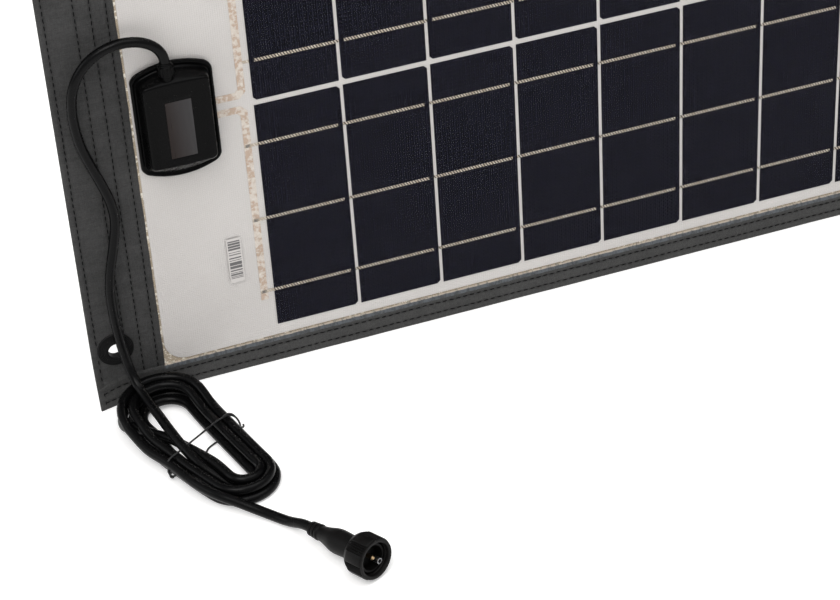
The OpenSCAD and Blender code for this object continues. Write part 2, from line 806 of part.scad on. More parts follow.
module coupling_ring() {
    r = ring_d / 2;
    rib_w = 5.2;
    color("black") in_plug() translate([0, 0, ring_back]) difference() {
        union() {
            cylinder(h = 1.2, r1 = r - 1.6, r2 = r - 0.8);
            translate([0, 0, 1.2]) cylinder(h = ring_l - 1.2, r = r - 0.8);
            intersection() {
                cylinder(h = ring_l - 0.6, r = r);
                for (a = [0 : 360 / ring_ribs : 359]) rotate([0, 0, a])
                    translate([0, -rib_w / 2, 0.6]) cube([r + 1, rib_w, ring_l - 1.2]);
            }
        }
        translate([0, 0, -1]) cylinder(h = ring_l + 2, d = neck_d + 2 * ring_gap);
        translate([0, 0, flange_s - ring_back - ring_gap])
            cylinder(h = ring_l, d = max(mouth_d, flange_d + 2 * ring_gap));
    }
}

back_cloth();
carrier_sheet();
back_film();
rear_encapsulant();
upper_cells();
lower_cells();
upper_tab_ribbons();
lower_tab_ribbons();
upper_bus_ribbon();
lower_bus_ribbon();
end_bus_ribbon();
front_encapsulant();
front_film();
id_label();
left_border();
right_border();
top_binding();
bottom_binding();
border_thread();
eyelet_rings();
eyelet_washers();
box_bond_pad();
box_base();
box_lid();
box_plate();
terminal_clips();
bypass_diode();
cord_cores();
gland_nut();
gland_seal();
cord_run();
cord_hank();
cord_tail();
twist_tie();
plug_body();
contact_insert();
contact_pin();
contact_socket();
plug_seal();
coupling_ring();
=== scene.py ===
# Flexible solar sheet: camera, lead, cloth, laminate, junction box and plug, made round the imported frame.
import math

import bmesh
import bpy
import numpy as np
from mathutils import Matrix, Vector, noise


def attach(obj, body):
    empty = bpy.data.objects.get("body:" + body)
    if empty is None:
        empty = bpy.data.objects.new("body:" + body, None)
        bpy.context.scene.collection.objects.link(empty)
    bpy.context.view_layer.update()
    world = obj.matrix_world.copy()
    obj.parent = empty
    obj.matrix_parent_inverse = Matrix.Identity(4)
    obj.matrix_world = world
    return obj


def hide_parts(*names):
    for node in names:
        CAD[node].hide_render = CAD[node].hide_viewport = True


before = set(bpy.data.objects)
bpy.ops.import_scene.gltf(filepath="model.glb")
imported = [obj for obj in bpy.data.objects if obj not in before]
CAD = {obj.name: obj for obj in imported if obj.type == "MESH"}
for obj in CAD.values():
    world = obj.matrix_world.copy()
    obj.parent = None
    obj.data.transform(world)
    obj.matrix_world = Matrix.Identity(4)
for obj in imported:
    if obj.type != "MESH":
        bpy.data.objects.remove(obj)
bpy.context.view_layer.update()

MM = 0.001

# Sizes of the sheet, in millimetres, as the CAD has them
LEFT, RIGHT = -15.0, 1138.5
FLOOR, TOP = -330.9, 38.5
MID_Z = -146.2
BORDER_W, BINDING_H = 43.5, 18.2
WIN_LEFT, WIN_RIGHT = LEFT + BORDER_W, RIGHT - BORDER_W
WIN_LOW, WIN_HIGH = FLOOR + BINDING_H, TOP - BINDING_H
CLOTH_Y, CARRIER_Y, BORDER_Y, BINDING_Y, FILM_Y, FACE_Y = 0.6, 1.2, 1.9, 2.5, 2.45, 2.6
CARRIER_LAP = 12.0
EYELETS = [(x, z) for x in (0.0, 1123.5) for z in (0.0, -292.4)]
SIDE_SEAMS = (3.8, 21.1, 30.2, 39.2)
BINDING_SEAMS = (5.1, 12.3)
MID_X, HALF_W = (LEFT + RIGHT) / 2, (RIGHT - LEFT) / 2
BOX_X, BOX_Z = 54.5, -142.9
GLAND_X, GLAND_Y, GLAND_Z = 51.0, -10.4, -113.9
LABEL_X, LABEL_Z = 79.3, -250.0
CORD_D = 6.0
# Left edge of the first cell, and how far apart the cells are along and across the sheet
CELLS_X = 101.0
CELL_PITCH_X, CELL_PITCH_Z = 54.0, 160.0


# ---- camera, light and floor ----

def add_camera():
    """Low to the left of the sheet, looking down along it."""
    right = Vector((0.93977, -0.33703, -0.05695))
    up = Vector((0.24043, 0.53339, 0.81098))
    look = right.cross(up)
    data = bpy.data.cameras.new("camera")
    data.sensor_fit = "HORIZONTAL"
    data.sensor_width = 36.0
    data.lens = 109.464
    data.clip_start = 0.05
    camera = bpy.data.objects.new("camera", data)
    place = Matrix((right, up, look)).transposed().to_4x4()
    place.translation = Vector((-193.2, -1234.6, 611.9)) * MM
    camera.matrix_world = place
    bpy.context.scene.collection.objects.link(camera)
    bpy.context.scene.camera = camera


def add_light(name, place, target, size, power, colour=(1, 1, 1)):
    data = bpy.data.lights.new(name, "AREA")
    data.shape = "SQUARE"
    data.size = size
    data.energy = power
    data.color = colour
    light = bpy.data.objects.new(name, data)
    light.location = place
    light.rotation_euler = (Vector(target) - Vector(place)).to_track_quat("-Z", "Y").to_euler()
    bpy.context.scene.collection.objects.link(light)


def add_studio():
    world = bpy.data.worlds.new("studio")
    world.use_nodes = True
    world.node_tree.nodes["Background"].inputs[0].default_value = (1, 1, 1, 1)
    world.node_tree.nodes["Background"].inputs[1].default_value = 0.5
    bpy.context.scene.world = world
    bpy.context.scene.view_settings.view_transform = "Standard"
    add_light("window", (-0.9, -1.5, 2.3), (0.2, 0, -0.2), 1.6, 46, (1.0, 0.985, 0.97))
    add_light("ceiling", (0.9, -0.6, 2.6), (0.4, -0.1, -0.3), 2.2, 34)
    add_light("side", (-2.2, 0.2, 0.9), (0.0, 0, -0.2), 1.2, 8, (0.96, 0.98, 1.0))
    half = 6.0
    floor_z = (FLOOR - 0.1) * MM  # just under the lowest pieces
    mesh = bpy.data.meshes.new("floor")
    mesh.from_pydata([(-half, -half, floor_z), (half, -half, floor_z), (half, half, floor_z),
                      (-half, half, floor_z)], [], [(0, 1, 2, 3)])
    floor = bpy.data.objects.new("floor", mesh)
    bpy.context.scene.collection.objects.link(floor)
    pale = Finish("floor_paint", {"Roughness": 0.9, "Specular IOR Level": 0.1,
                                  "Emission Color": (1, 1, 1, 1), "Emission Strength": 0.3})
    pale.set("Base Color", pale.mix(pale.noise(2.0), (0.93, 0.925, 0.92, 1), (0.95, 0.948, 0.945, 1)))
    mesh.materials.append(pale.material)


# ---- materials ----

class Value:
    """A shader socket that takes part in sums."""

    def __init__(self, finish, socket):
        self.finish, self.socket = finish, socket

    def math(self, operation, *others, swap=False):
        terms = [self, *others]
        if swap:
            terms.reverse()
        return self.finish.node("ShaderNodeMath", {"operation": operation}, dict(enumerate(terms)))

    def __add__(self, other):
        return self.math("ADD", other)

    def __sub__(self, other):
        return self.math("SUBTRACT", other)

    def __rsub__(self, other):
        return self.math("SUBTRACT", other, swap=True)

    def __mul__(self, other):
        return self.math("MULTIPLY", other)

    def __truediv__(self, other):
        return self.math("DIVIDE", other)

    __radd__ = __add__
    __rmul__ = __mul__

    def wave(self, period, shift=0.0):
        """A sine of this value, from -1 to 1."""
        return (self * (2 * math.pi / period) + shift).math("SINE")

    def floor(self):
        return self.math("FLOOR")

    def size(self):
        return self.math("ABSOLUTE")

    def rise(self, low, high, to_low=0.0, to_high=1.0):
        """Smooth step between two values."""
        return self.finish.node("ShaderNodeMapRange", {"interpolation_type": "SMOOTHSTEP"},
                                {0: self, 1: low, 2: high, 3: to_low, 4: to_high})


class Finish:
    """A procedural material with one principled shader."""

    def __init__(self, name, fixed):
        self.material = bpy.data.materials.new(name)
        self.material.use_nodes = True
        self.tree = self.material.node_tree
        self.shader = self.tree.nodes["Principled BSDF"]
        coordinates = self.tree.nodes.new("ShaderNodeTexCoord")
        self.place = Value(self, coordinates.outputs["Object"])
        for socket, value in fixed.items():
            self.shader.inputs[socket].default_value = value

    def put(self, socket, value):
        if isinstance(value, Value):
            self.tree.links.new(value.socket, socket)
        else:
            socket.default_value = value

    def node(self, kind, settings, inputs, out=0):
        made = self.tree.nodes.new(kind)
        for key, value in settings.items():
            setattr(made, key, value)
        for key, value in inputs.items():
            self.put(made.inputs[key], value)
        return Value(self, made.outputs[out])

    def set(self, socket, value):
        self.put(self.shader.inputs[socket], value)

    def mix(self, share, first, second):
        return self.node("ShaderNodeMix", {"data_type": "RGBA"}, {0: share, 6: first, 7: second}, 2)

    def tint(self, colour, share):
        """A colour made darker or lighter by a value round 1."""
        if not isinstance(colour, Value):
            colour = tuple(colour[:3])
        return self.node("ShaderNodeVectorMath", {"operation": "SCALE"}, {0: colour, "Scale": share})

    def noise(self, scale, stretch=(1, 1, 1), detail=3.0, rough=0.55):
        """Noise from 0 to 1 with this many lumps to a metre."""
        vector = self.node("ShaderNodeVectorMath", {"operation": "MULTIPLY"}, {0: self.place, 1: stretch})
        return self.node("ShaderNodeTexNoise", {}, {"Vector": vector, "Scale": scale, "Detail": detail,
                                                     "Roughness": rough})

    def axes(self):
        """Object coordinates in millimetres."""
        split = self.tree.nodes.new("ShaderNodeSeparateXYZ")
        self.tree.links.new(self.place.socket, split.inputs[0])
        return [Value(self, split.outputs[i]) * 1000 for i in range(3)]

    def cell_noise(self, x, z):
        """One random number from 0 to 1 for each pair of whole numbers."""
        vector = self.node("ShaderNodeCombineXYZ", {}, {0: x, 1: z})
        return self.node("ShaderNodeTexWhiteNoise", {"noise_dimensions": "3D"}, {"Vector": vector})

    def bump(self, height, distance, strength=1.0):
        self.set("Normal", self.node("ShaderNodeBump", {}, {"Strength": strength, "Distance": distance,
                                                            "Height": height}))


def rgba(r, g, b):
    return (r, g, b, 1.0)


def woven(f):
    """Uneven yarns that run along and across the cloth, from 0 to 1."""
    across, along = f.noise(330, (1, 1, 14), 3, 0.7), f.noise(330, (14, 1, 1), 3, 0.7)
    return (across * 0.5 + along * 0.5).rise(0.3, 0.7)


def coated_fabric(name, colour, grain):
    """Coated cloth: uneven woven yarns under a matt skin, with faint clouds and scuffs, painted shading along
    the seams and painted light on the raised creases.
    """
    f = Finish(name, {"Specular IOR Level": 0.14, "Sheen Weight": 0.04, "Sheen Roughness": 0.5})
    x, _, z = f.axes()
    yarns = woven(f)
    cloud = f.noise(26, (1, 1, 1), 4)
    fleck = f.noise(1500, (1, 1, 1), 1)
    inward = HALF_W - (x - MID_X).size()
    # Painted shading: the colour is darkened along each sewn seam, where the cloth sinks into its channel
    seam = sum(((inward - s).size().rise(0.2, 1.7, 0.24, 0.0) for s in SIDE_SEAMS), 0.0)
    crease = f.noise(70, (0.5, 1, 1.7), 3, 0.65)
    # Painted light: the crease noise that raises the cloth in the bump also lightens its colour on the raised
    # parts
    tone = 0.2 + yarns * 0.98 + cloud * 0.34 + fleck * 0.2 + crease.rise(0.35, 0.7) * 0.22
    f.set("Base Color", f.tint(colour, tone * (1 - seam)))
    f.set("Roughness", 0.46 + yarns * 0.2 + cloud * 0.08)
    f.bump(yarns * 0.5 + x.wave(0.9) * z.wave(0.9) * grain * 0.6 + fleck * 0.2 + crease * 2.2, 0.0016, 1.0)
    return f.material


def binding_fabric():
    """The binding's cloth: a bluish selvedge along its inner edge, and a frayed cream line past that, with
    painted shading along its seams and painted light on its raised creases.
    """
    f = Finish("binding_fabric", {"Specular IOR Level": 0.14, "Sheen Weight": 0.04, "Sheen Roughness": 0.5})
    x, _, z = f.axes()
    from_edge = (z - MID_Z).size()
    tufts = f.noise(300, (1.5, 1, 0.8), 3, 0.7)
    selvedge = from_edge.rise(169.7, 169.2) * tufts.rise(0.36, 0.58, 0.3, 1.0)
    frayed = from_edge.rise(167.1, 166.85) * tufts.rise(0.38, 0.5, 0.45, 1.0)
    half_window = WIN_RIGHT - MID_X
    inside = (x - MID_X).size().rise(half_window - 0.5, half_window + 1, 1, 0)
    yarns = woven(f)
    cloud = f.noise(32, (1, 1, 1), 4)
    inward = (TOP - MID_Z) - from_edge
    # Painted shading: the colour is darkened along each sewn seam, where the cloth sinks into its channel
    seam = sum(((inward - s).size().rise(0.2, 1.5, 0.24, 0.0) for s in BINDING_SEAMS), 0.0)
    crease = f.noise(70, (1.6, 1, 0.6), 3, 0.65)
    # Painted light: the crease noise that raises the cloth in the bump also lightens its colour on the raised
    # parts
    tone = 0.2 + yarns * 0.98 + cloud * 0.36 + crease * 0.16
    cloth = f.tint(rgba(0.086, 0.0855, 0.0845), tone * (1 - seam))
    edged = f.mix(selvedge * inside * 0.85, cloth, rgba(0.19, 0.215, 0.24))
    f.set("Base Color", f.mix(frayed * inside, edged, rgba(0.74, 0.64, 0.53)))
    f.set("Roughness", 0.46 + yarns * 0.2)
    f.bump(yarns * 0.5 + x.wave(0.9) * z.wave(0.9) * 0.15 + crease * 1.8, 0.0014, 1.0)
    return f.material


def glass_fibre():
    """The raw edge of the woven glass fibre carrier: cream yarns that cross, and loose ends with bright painted
    sparkle on them.
    """
    f = Finish("glass_fibre", {"Specular IOR Level": 0.3})
    x, _, z = f.axes()
    yarn = (x.wave(1.5) * z.wave(1.5)) * 0.5 + 0.5
    fuzz = f.noise(700, (1, 1, 1), 4)
    # Painted highlight: bright sparkle spots mixed into the colour of the loose fibre ends
    painted_sparkle = f.noise(420, (1, 1, 1), 2).rise(0.52, 0.66)
    dull = f.mix(fuzz * 0.5 + yarn * 0.5, rgba(0.3, 0.235, 0.165), rgba(0.62, 0.53, 0.41))
    f.set("Base Color", f.mix(painted_sparkle, dull, rgba(0.93, 0.88, 0.78)))
    f.set("Roughness", 0.6 + fuzz * 0.2)
    f.bump(yarn + fuzz * 0.8, 0.0004, 0.8)
    return f.material


def white_film():
    """White film pressed with a fine square grid."""
    f = Finish("white_film", {"Specular IOR Level": 0.2})
    x, _, z = f.axes()
    grid = (x.wave(2.6).size() + z.wave(2.6).size()) * 0.5
    cloud = f.noise(12, (1, 1, 1), 4)
    f.set("Base Color", f.mix(cloud * 0.7 + grid * 0.45, rgba(0.46, 0.438, 0.423), rgba(0.6, 0.578, 0.56)))
    f.set("Roughness", 0.42 + cloud * 0.15)
    f.bump(grid + f.noise(900, detail=1) * 0.3, 0.0002, 0.6)
    return f.material


def clear_film():
    """The clear embossed film over the cells: rows of small dimples that catch the light."""
    f = Finish("clear_film", {"IOR": 1.45, "Specular IOR Level": 0.3})
    x, _, z = f.axes()
    dimples = x.wave(1.3) * z.wave(1.3)
    rows = x.wave(2.6, 0.7) * z.wave(2.6)
    drift = f.noise(9, (1, 1, 1), 3)
    f.set("Base Color", f.mix(drift, rgba(0.3, 0.31, 0.4), rgba(0.36, 0.36, 0.42)))
    f.set("Alpha", 0.002 + (dimples * 0.5 + 0.5) * 0.003 + (rows * 0.5 + 0.5) * 0.003)
    f.set("Roughness", 0.24 + drift * 0.12)
    f.bump(dimples + rows * 0.5 + f.noise(60, detail=2) * 0.6, 0.00035, 0.8)
    return f.material


def cell_silicon():
    """Near black cells with hair-thin fingers and rows of dimples darkened by painted shading, each a little
    different in tone.
    """
    f = Finish("cell_silicon", {"Specular IOR Level": 0.04})
    x, _, z = f.axes()
    column = ((x - CELLS_X) / CELL_PITCH_X).floor()
    row = ((z - MID_Z) / CELL_PITCH_Z).floor()
    tone = f.cell_noise(column, row)
    finger = x.wave(1.45).rise(-0.1, 0.9)
    texture = f.noise(420, (1.6, 1, 0.5), 3)
    cloud = f.noise(22, (1, 1, 1.6), 3)
    # Painted shading: the dimple rows are sunk by the bump and darkened in the colour as well
    spots = z.wave(2.7).rise(-0.2, 0.9) * x.wave(2.9, 0.4).rise(-0.6, 0.6)
    rows = spots * cloud.rise(0.36, 0.6, 0.55, 1.0)
    dark = f.mix(tone, rgba(0.0026, 0.0027, 0.0068), rgba(0.0036, 0.0036, 0.008))
    lit = f.mix(finger * 0.75, dark, rgba(0.0175, 0.017, 0.027))
    f.set("Base Color", f.tint(lit, (0.25 + texture.rise(0.3, 0.7) * 0.9 + cloud * 0.4) * (1 - rows * 0.9)))
    f.set("Roughness", 0.4 + texture * 0.2)
    f.bump(finger * 0.4 + texture * 0.5 - rows * 1.2, 0.0002, 0.7)
    return f.material


def tab_ribbon():
    """A narrow tinned ribbon that the embossed film breaks into slanting beige dashes, like a thin rope."""
    f = Finish("tab_ribbon", {"Specular IOR Level": 0.4})
    x, _, z = f.axes()
    twist = (x * 1.3 + z * 0.8).wave(2.3).rise(-0.5, 0.7)
    patch = f.noise(420, (1, 1, 1), 3)
    pale = f.mix(patch.rise(0.35, 0.7), rgba(0.4, 0.33, 0.245), rgba(0.68, 0.62, 0.53))
    over_cells = x.rise(CELLS_X - 0.6, CELLS_X + 0.4)
    rope = f.mix(twist, rgba(0.075, 0.062, 0.05), pale)
    # Off the cells it lies under white film, with a dark solder joint on the bus ribbon
    covered = f.mix(twist, rgba(0.4, 0.35, 0.29), pale)
    joint = (x - (CELLS_X - 6.2)).size().rise(1.0, 2.0, 1.0, 0.0) * patch.rise(0.3, 0.6, 0.4, 0.9)
    f.set("Base Color", f.mix(joint, f.mix(over_cells, covered, rope), rgba(0.1, 0.095, 0.09)))
    f.set("Roughness", 0.38 + patch * 0.2)
    f.bump(twist + patch * 0.5, 0.0002, 0.7)
    return f.material


def bus_ribbon():
    """A copper bus ribbon that shows through the film as cream and copper blotches, with pale painted highlight
    patches.
    """
    f = Finish("bus_ribbon", {"Specular IOR Level": 0.35})
    blotch = f.noise(300, (1, 1, 1), 2).rise(0.4, 0.6)
    painted_highlight = f.noise(520, (1, 1, 1), 2).rise(0.52, 0.7)
    warm = f.mix(blotch, rgba(0.58, 0.525, 0.465), rgba(0.44, 0.335, 0.26))
    # Painted highlight: pale grey patches are mixed into the colour where the second noise is high
    f.set("Base Color", f.mix(painted_highlight * 0.55, warm, rgba(0.68, 0.655, 0.62)))
    f.set("Metallic", blotch * 0.15)
    f.set("Roughness", 0.4 + painted_highlight * 0.2)
    f.bump(blotch + painted_highlight * 0.5, 0.0002, 0.6)
    return f.material


def plain_label():
    """A pale label with blank bars."""
    f = Finish("plain_label", {"Specular IOR Level": 0.3})
    x, _, z = f.axes()
    bar = f.cell_noise((z / 0.47).floor(), 0.0).rise(0.42, 0.44)
    inside = (x - LABEL_X).size().rise(3.7, 3.8, 1.0, 0.0) * (z - LABEL_Z).size().rise(14.2, 14.4, 1.0, 0.0)
    paper = f.mix(f.noise(300), rgba(0.54, 0.515, 0.5), rgba(0.58, 0.557, 0.54))
    f.set("Base Color", f.mix(bar * inside * 0.85, paper, rgba(0.05, 0.05, 0.055)))
    f.set("Roughness", 0.5 + f.noise(500) * 0.1)
    return f.material


def moulded(name, colour, rough, grain=900, relief=0.00008, shine=0.14, coat=0.0, metal=0.0):
    """Moulded plastic, rubber or plain metal: a fine grain, soft handling marks and uneven gloss."""
    f = Finish(name, {"Specular IOR Level": shine, "Metallic": metal, "Coat Weight": coat,
                      "Coat Roughness": 0.12})
    fine = f.noise(grain, detail=2)
    cloud = f.noise(55, detail=4)
    f.set("Base Color", f.tint(colour, 0.72 + cloud * 0.4 + fine * 0.16))
    f.set("Roughness", rough - 0.06 + cloud * 0.12 + fine * 0.06)
    f.bump(fine + cloud * 0.3, relief, 0.6)
    return f.material


def plate_sheen():
    """The blank plate on the box: brown to the left, grey to the right, with a hairline grain."""
    f = Finish("plate_sheen", {"Specular IOR Level": 0.12, "Coat Weight": 0.02, "Coat Roughness": 0.1})
    x, _, z = f.axes()
    side = (x - BOX_X + (z - BOX_Z) * 0.1).rise(-11.0, 9.0)
    hair = f.noise(500, (1, 1, 0.08), 2)
    colour = f.mix(side, rgba(0.0145, 0.0092, 0.0078), rgba(0.038, 0.0365, 0.038))
    f.set("Base Color", f.tint(colour, 0.8 + hair * 0.4))
    f.set("Roughness", 0.24 + hair * 0.12)
    f.bump(hair, 0.00005, 0.4)
    return f.material


add_camera()
add_studio()

BORDER_CLOTH = coated_fabric("border_cloth", rgba(0.07, 0.0695, 0.0695), 0.3)
BACK_CLOTH = coated_fabric("back_cloth_weave", rgba(0.07, 0.0695, 0.0695), 0.6)
BINDING = binding_fabric()
THREAD = moulded("sewing_thread", rgba(0.0035, 0.0035, 0.0038), 0.6, 2600, 0.0001)
JACKET = moulded("cord_jacket", rgba(0.0024, 0.0024, 0.0026), 0.24, 700, 0.00004, 0.09, 0.01)
EYELET_PLASTIC = moulded("eyelet_plastic", rgba(0.006, 0.006, 0.0063), 0.4)
BOX_PLASTIC = moulded("box_plastic", rgba(0.0018, 0.0018, 0.0019), 0.25, 1300, 0.00004, 0.06)
PLUG_RUBBER = moulded("plug_rubber", rgba(0.004, 0.0038, 0.0038), 0.42, 1500, 0.00008, 0.1)
RING_PLASTIC = moulded("ring_plastic", rgba(0.0045, 0.0042, 0.0042), 0.38, 1500, 0.00006, 0.1)
TIE_PLASTIC = moulded("tie_coating", rgba(0.008, 0.008, 0.0085), 0.28, 1800, 0.00005, 0.5)
BRASS = moulded("contact_brass", rgba(0.42, 0.3, 0.17), 0.32, 1500, 0.00003, 0.5, metal=1.0)
TIN = moulded("contact_tin", rgba(0.3, 0.3, 0.31), 0.34, 1500, 0.00003, 0.5, metal=1.0)

FINISHES = {
    "carrier_sheet": glass_fibre(), "back_film": white_film(), "rear_encapsulant": white_film(),
    "upper_cells": cell_silicon(), "id_label": plain_label(), "box_plate": plate_sheen(),
    "upper_tab_ribbons": tab_ribbon(), "upper_bus_ribbon": bus_ribbon(),
    "eyelet_washers": EYELET_PLASTIC, "box_base": BOX_PLASTIC, "bypass_diode": RING_PLASTIC,
    "box_bond_pad": moulded("bond_foam", rgba(0.5, 0.5, 0.48), 0.8, 600, 0.0003),
    "terminal_clips": BRASS, "contact_pin": BRASS, "contact_socket": TIN, "contact_insert": PLUG_RUBBER,
    "cord_cores": moulded("core_insulation", rgba(0.2, 0.02, 0.015), 0.4, 900, 0.00005),
    "plug_seal": moulded("seal_rubber", rgba(0.16, 0.02, 0.015), 0.5, 900, 0.00005),
}
for twin, first in {"lower_cells": "upper_cells", "lower_tab_ribbons": "upper_tab_ribbons",
                    "lower_bus_ribbon": "upper_bus_ribbon", "end_bus_ribbon": "upper_bus_ribbon"}.items():
    FINISHES[twin] = FINISHES[first]


def coat_cad_nodes():
    for node, material in FINISHES.items():
        slots = CAD[node].data.materials
        slots.clear()
        slots.append(material)


# ---- making pieces ----

def settle(obj, slot, *nodes, body="sheet"):
    """Gives a finished piece its body and hides the CAD nodes whose place it takes; slot is not used."""
    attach(obj, body)
    if nodes:
        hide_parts(*nodes)
    return obj


def add_mesh(name, points, faces, material):
    """A smooth mesh object from points in millimetres."""
    mesh = bpy.data.meshes.new(name)
    mesh.from_pydata([tuple(c * MM for c in p) for p in points], [], faces)
    mesh.validate()
    mesh.shade_smooth()
    mesh.materials.append(material)
    obj = bpy.data.objects.new(name, mesh)
    bpy.context.scene.collection.objects.link(obj)
    return obj


def sharpen(obj, degrees):
    """Keeps edges sharper than an angle crisp."""
    obj.data.set_sharp_from_angle(angle=math.radians(degrees))


# ---- the lead ----

RUN_ROUTE = [(51, -10.4, -122), (51, -10.4, -112), (51, -10.4, -102), (49.4, -10.4, -95.5),
             (45, -10.4, -90), (37.5, -10.4, -86), (28.5, -10.3, -84.6), (19.5, -10, -86), (12, -9.5, -89.5),
             (5.5, -9, -95), (0.3, -8.5, -102.5), (-3, -8, -111.5), (-4.2, -7.5, -121), (-4.2, -7, -131),
             (-2.5, -6.6, -145), (1.3, -6.4, -159), (6, -6.4, -173.5), (9.6, -6.4, -187), (10.5, -6.5, -200),
             (7.8, -6.7, -215), (3.8, -7, -231), (1.5, -7.3, -245), (1, -7.6, -259), (1.8, -8, -275),
             (3.3, -8.8, -290), (5.2, -12, -302.5), (7.6, -20, -311), (10, -32, -314.5), (12.4, -46, -315),
             (15.4, -62, -316), (19.6, -78, -318.6), (25, -92, -322)]
TAIL_ROUTE = [(0.7, -66.3, -322.4), (9.3, -84.2, -322.4), (17, -106.3, -322.1), (25, -120.3, -322.4),
              (36.4, -131.6, -324.4), (47.7, -142.7, -326.7), (57.4, -154.4, -326.9)]
HANK_CENTRE, HANK_ANGLE = (31.4, -68.4), math.radians(-71.4)
HANK_NEAR, HANK_FAR = 40.0, -35.5
FOLD_R, HOP_L = 18.0, 40.0
# Where the strands of a bundle lie: distance from the hank's middle line, and height over the floor
STRANDS = [(11.8, 3.2), (17.8, 3.2), (23.6, 3.2), (14.8, 8.4), (20.8, 8.4), (26.0, 8.4)]
PLUG_AXIS = Vector((0.4515035, -0.8861255, 0.1045285))
PLUG_START = Vector((67.0, -171.8, -322.1315))


def from_hank(x, y, height):
    """A world point from a place along and across the hank and a height over the floor."""
    c, s = math.cos(HANK_ANGLE), math.sin(HANK_ANGLE)
    return (HANK_CENTRE[0] + x * c - y * s, HANK_CENTRE[1] + x * s + y * c, FLOOR + height)


def hank_turn(turn):
    """One turn of the hank, from the start of the near fold back to it, hopping to the next strand's place."""
    points = []
    arc, side = math.pi * FOLD_R, HANK_NEAR - HANK_FAR
    hop_start = 1.5 * arc + side + 30.0 - turn * 6.0
    whole = 2 * arc + 2 * side
    count = round(whole / 5.0)
    for i in range(count):
        s = whole * i / count
        hop = min(1.0, max(0.0, (s - hop_start) / HOP_L))
        lift = min(1.0, 2.5 * hop)
        hop, lift = hop * hop * (3 - 2 * hop), lift * lift * (3 - 2 * lift)
        (r0, h0), (r1, h1) = STRANDS[turn], STRANDS[turn + 1]
        r, h = r0 + (r1 - r0) * hop, h0 + (h1 - h0) * lift
        if s < arc:
            a = s / FOLD_R - math.pi / 2
            x, y = HANK_NEAR + (r - 3.4) * math.cos(a), (r - 3.4) * math.sin(a)
        elif s < arc + side:
            x, y = HANK_NEAR - (s - arc), r
        elif s < 2 * arc + side:
            a = (s - arc - side) / FOLD_R + math.pi / 2
            x, y = HANK_FAR + (r + 3.6) * math.cos(a), (r + 3.6) * math.sin(a)
        else:
            x, y = s - 2 * arc - side + HANK_FAR, -r
        if HANK_FAR < x < HANK_NEAR and abs(y) > 5:
            # The runs close in towards the near fold
            y -= (7.0 * (x - HANK_FAR) / side - 3.6) * math.copysign(1.0, y)
        # The far fold is heaped on the foot of the sheet
        heap = min(1.0, max(0.0, (-x - 16) / 34))
        h += (2.2 if h < 5 else 7.0) * heap * heap * (3 - 2 * heap)
        points.append(from_hank(x, y, h))
    return points


def resampled(points, step):
    """A smooth line through points, cut into even steps."""
    p = np.array([points[0], *points, points[-1]], float)
    dense = []
    for i in range(1, len(p) - 2):
        a, b, c, d = p[i - 1:i + 3]
        for t in np.linspace(0, 1, 12, endpoint=False):
            dense.append(0.5 * (2 * b + (c - a) * t + (2 * a - 5 * b + 4 * c - d) * t * t
                                + (3 * b - a - 3 * c + d) * t ** 3))
    dense.append(p[-2])
    dense = np.array(dense)
    run = np.concatenate([[0], np.cumsum(np.linalg.norm(np.diff(dense, axis=0), axis=1))])
    at = np.linspace(0, run[-1], max(2, round(run[-1] / step) + 1))
    return np.stack([np.interp(at, run, dense[:, k]) for k in range(3)], axis=1)


def packed_strands(laid, first, last, rounds=120):
    """Pushes strands that lie in each other apart, with pushes that fade smoothly along the cord."""
    gap = CORD_D * 1.01
    lowest, nearest = FLOOR + CORD_D / 2 + 0.1, -FACE_Y - CORD_D / 2 - 0.3
    index = np.arange(len(laid))
    apart = np.abs(index[:, None] - index[None]) > 8
    free = (np.clip((index - first) / 12.0, 0, 1) * np.clip((last - index) / 12.0, 0, 1))[:, None]
    shift = np.zeros_like(laid)
    for _ in range(rounds):
        line = laid + shift
        away = line[:, None] - line[None]
        distance = np.linalg.norm(away, axis=2) + 1e-6
        near = apart & (distance < gap)
        push = np.where(near, (gap - distance) / distance, 0.0)[:, :, None] * away
        count = np.maximum(near.sum(axis=1), 1)[:, None]
        shift += np.clip(push.sum(axis=1) / np.sqrt(count) * 0.45, -0.6, 0.6) * free
        for _ in range(3):
            shift[1:-1] += 0.25 * (shift[:-2] + shift[2:] - 2 * shift[1:-1])
        shift *= free > 0
        # Loose strands stay over the floor and clear of the sheet
        loose = free[:, 0] > 0
        shift[loose, 2] = np.maximum(shift[loose, 2], lowest - laid[loose, 2])
        shift[loose, 1] = np.minimum(shift[loose, 1], nearest - laid[loose, 1])
    return laid + shift


def cord_line():
    """The lead's middle line: the run down the sheet, five turns of the hank, and the tail to the plug."""
    run = resampled(RUN_ROUTE, 3.0)
    turns = [p for turn in range(5) for p in hank_turn(turn)]
    # The last turn stops where the tail leaves the bundle
    tail_start = Vector(TAIL_ROUTE[0])
    while (Vector(turns[-1]) - tail_start).length < 16 or turns[-1][1] < tail_start[1] + 8:
        turns.pop()
    tail = [*TAIL_ROUTE, tuple(PLUG_START - 7 * PLUG_AXIS), tuple(PLUG_START + 2 * PLUG_AXIS)]
    whole = resampled([*RUN_ROUTE, *turns, *tail], 3.0)
    # The end of the run and the start of the tail lie loose as well
    first = len(run) - 16
    last = len(whole) - len(resampled(tail, 3.0)) + 18
    return resampled(packed_strands(whole, first, last).tolist(), 1.5)


def round_curve(name, lines, radius, resolution):
    """A curve object with a round section, along lines of points in millimetres."""
    data = bpy.data.curves.new(name, "CURVE")
    data.dimensions = "3D"
    for line in lines:
        spline = data.splines.new("POLY")
        spline.points.add(len(line) - 1)
        for point, place in zip(spline.points, line):
            point.co = (*(place * MM), 1.0)
    data.bevel_depth = radius * MM
    data.bevel_resolution = resolution
    data.use_fill_caps = True
    curve = bpy.data.objects.new(name, data)
    bpy.context.scene.collection.objects.link(curve)
    return curve


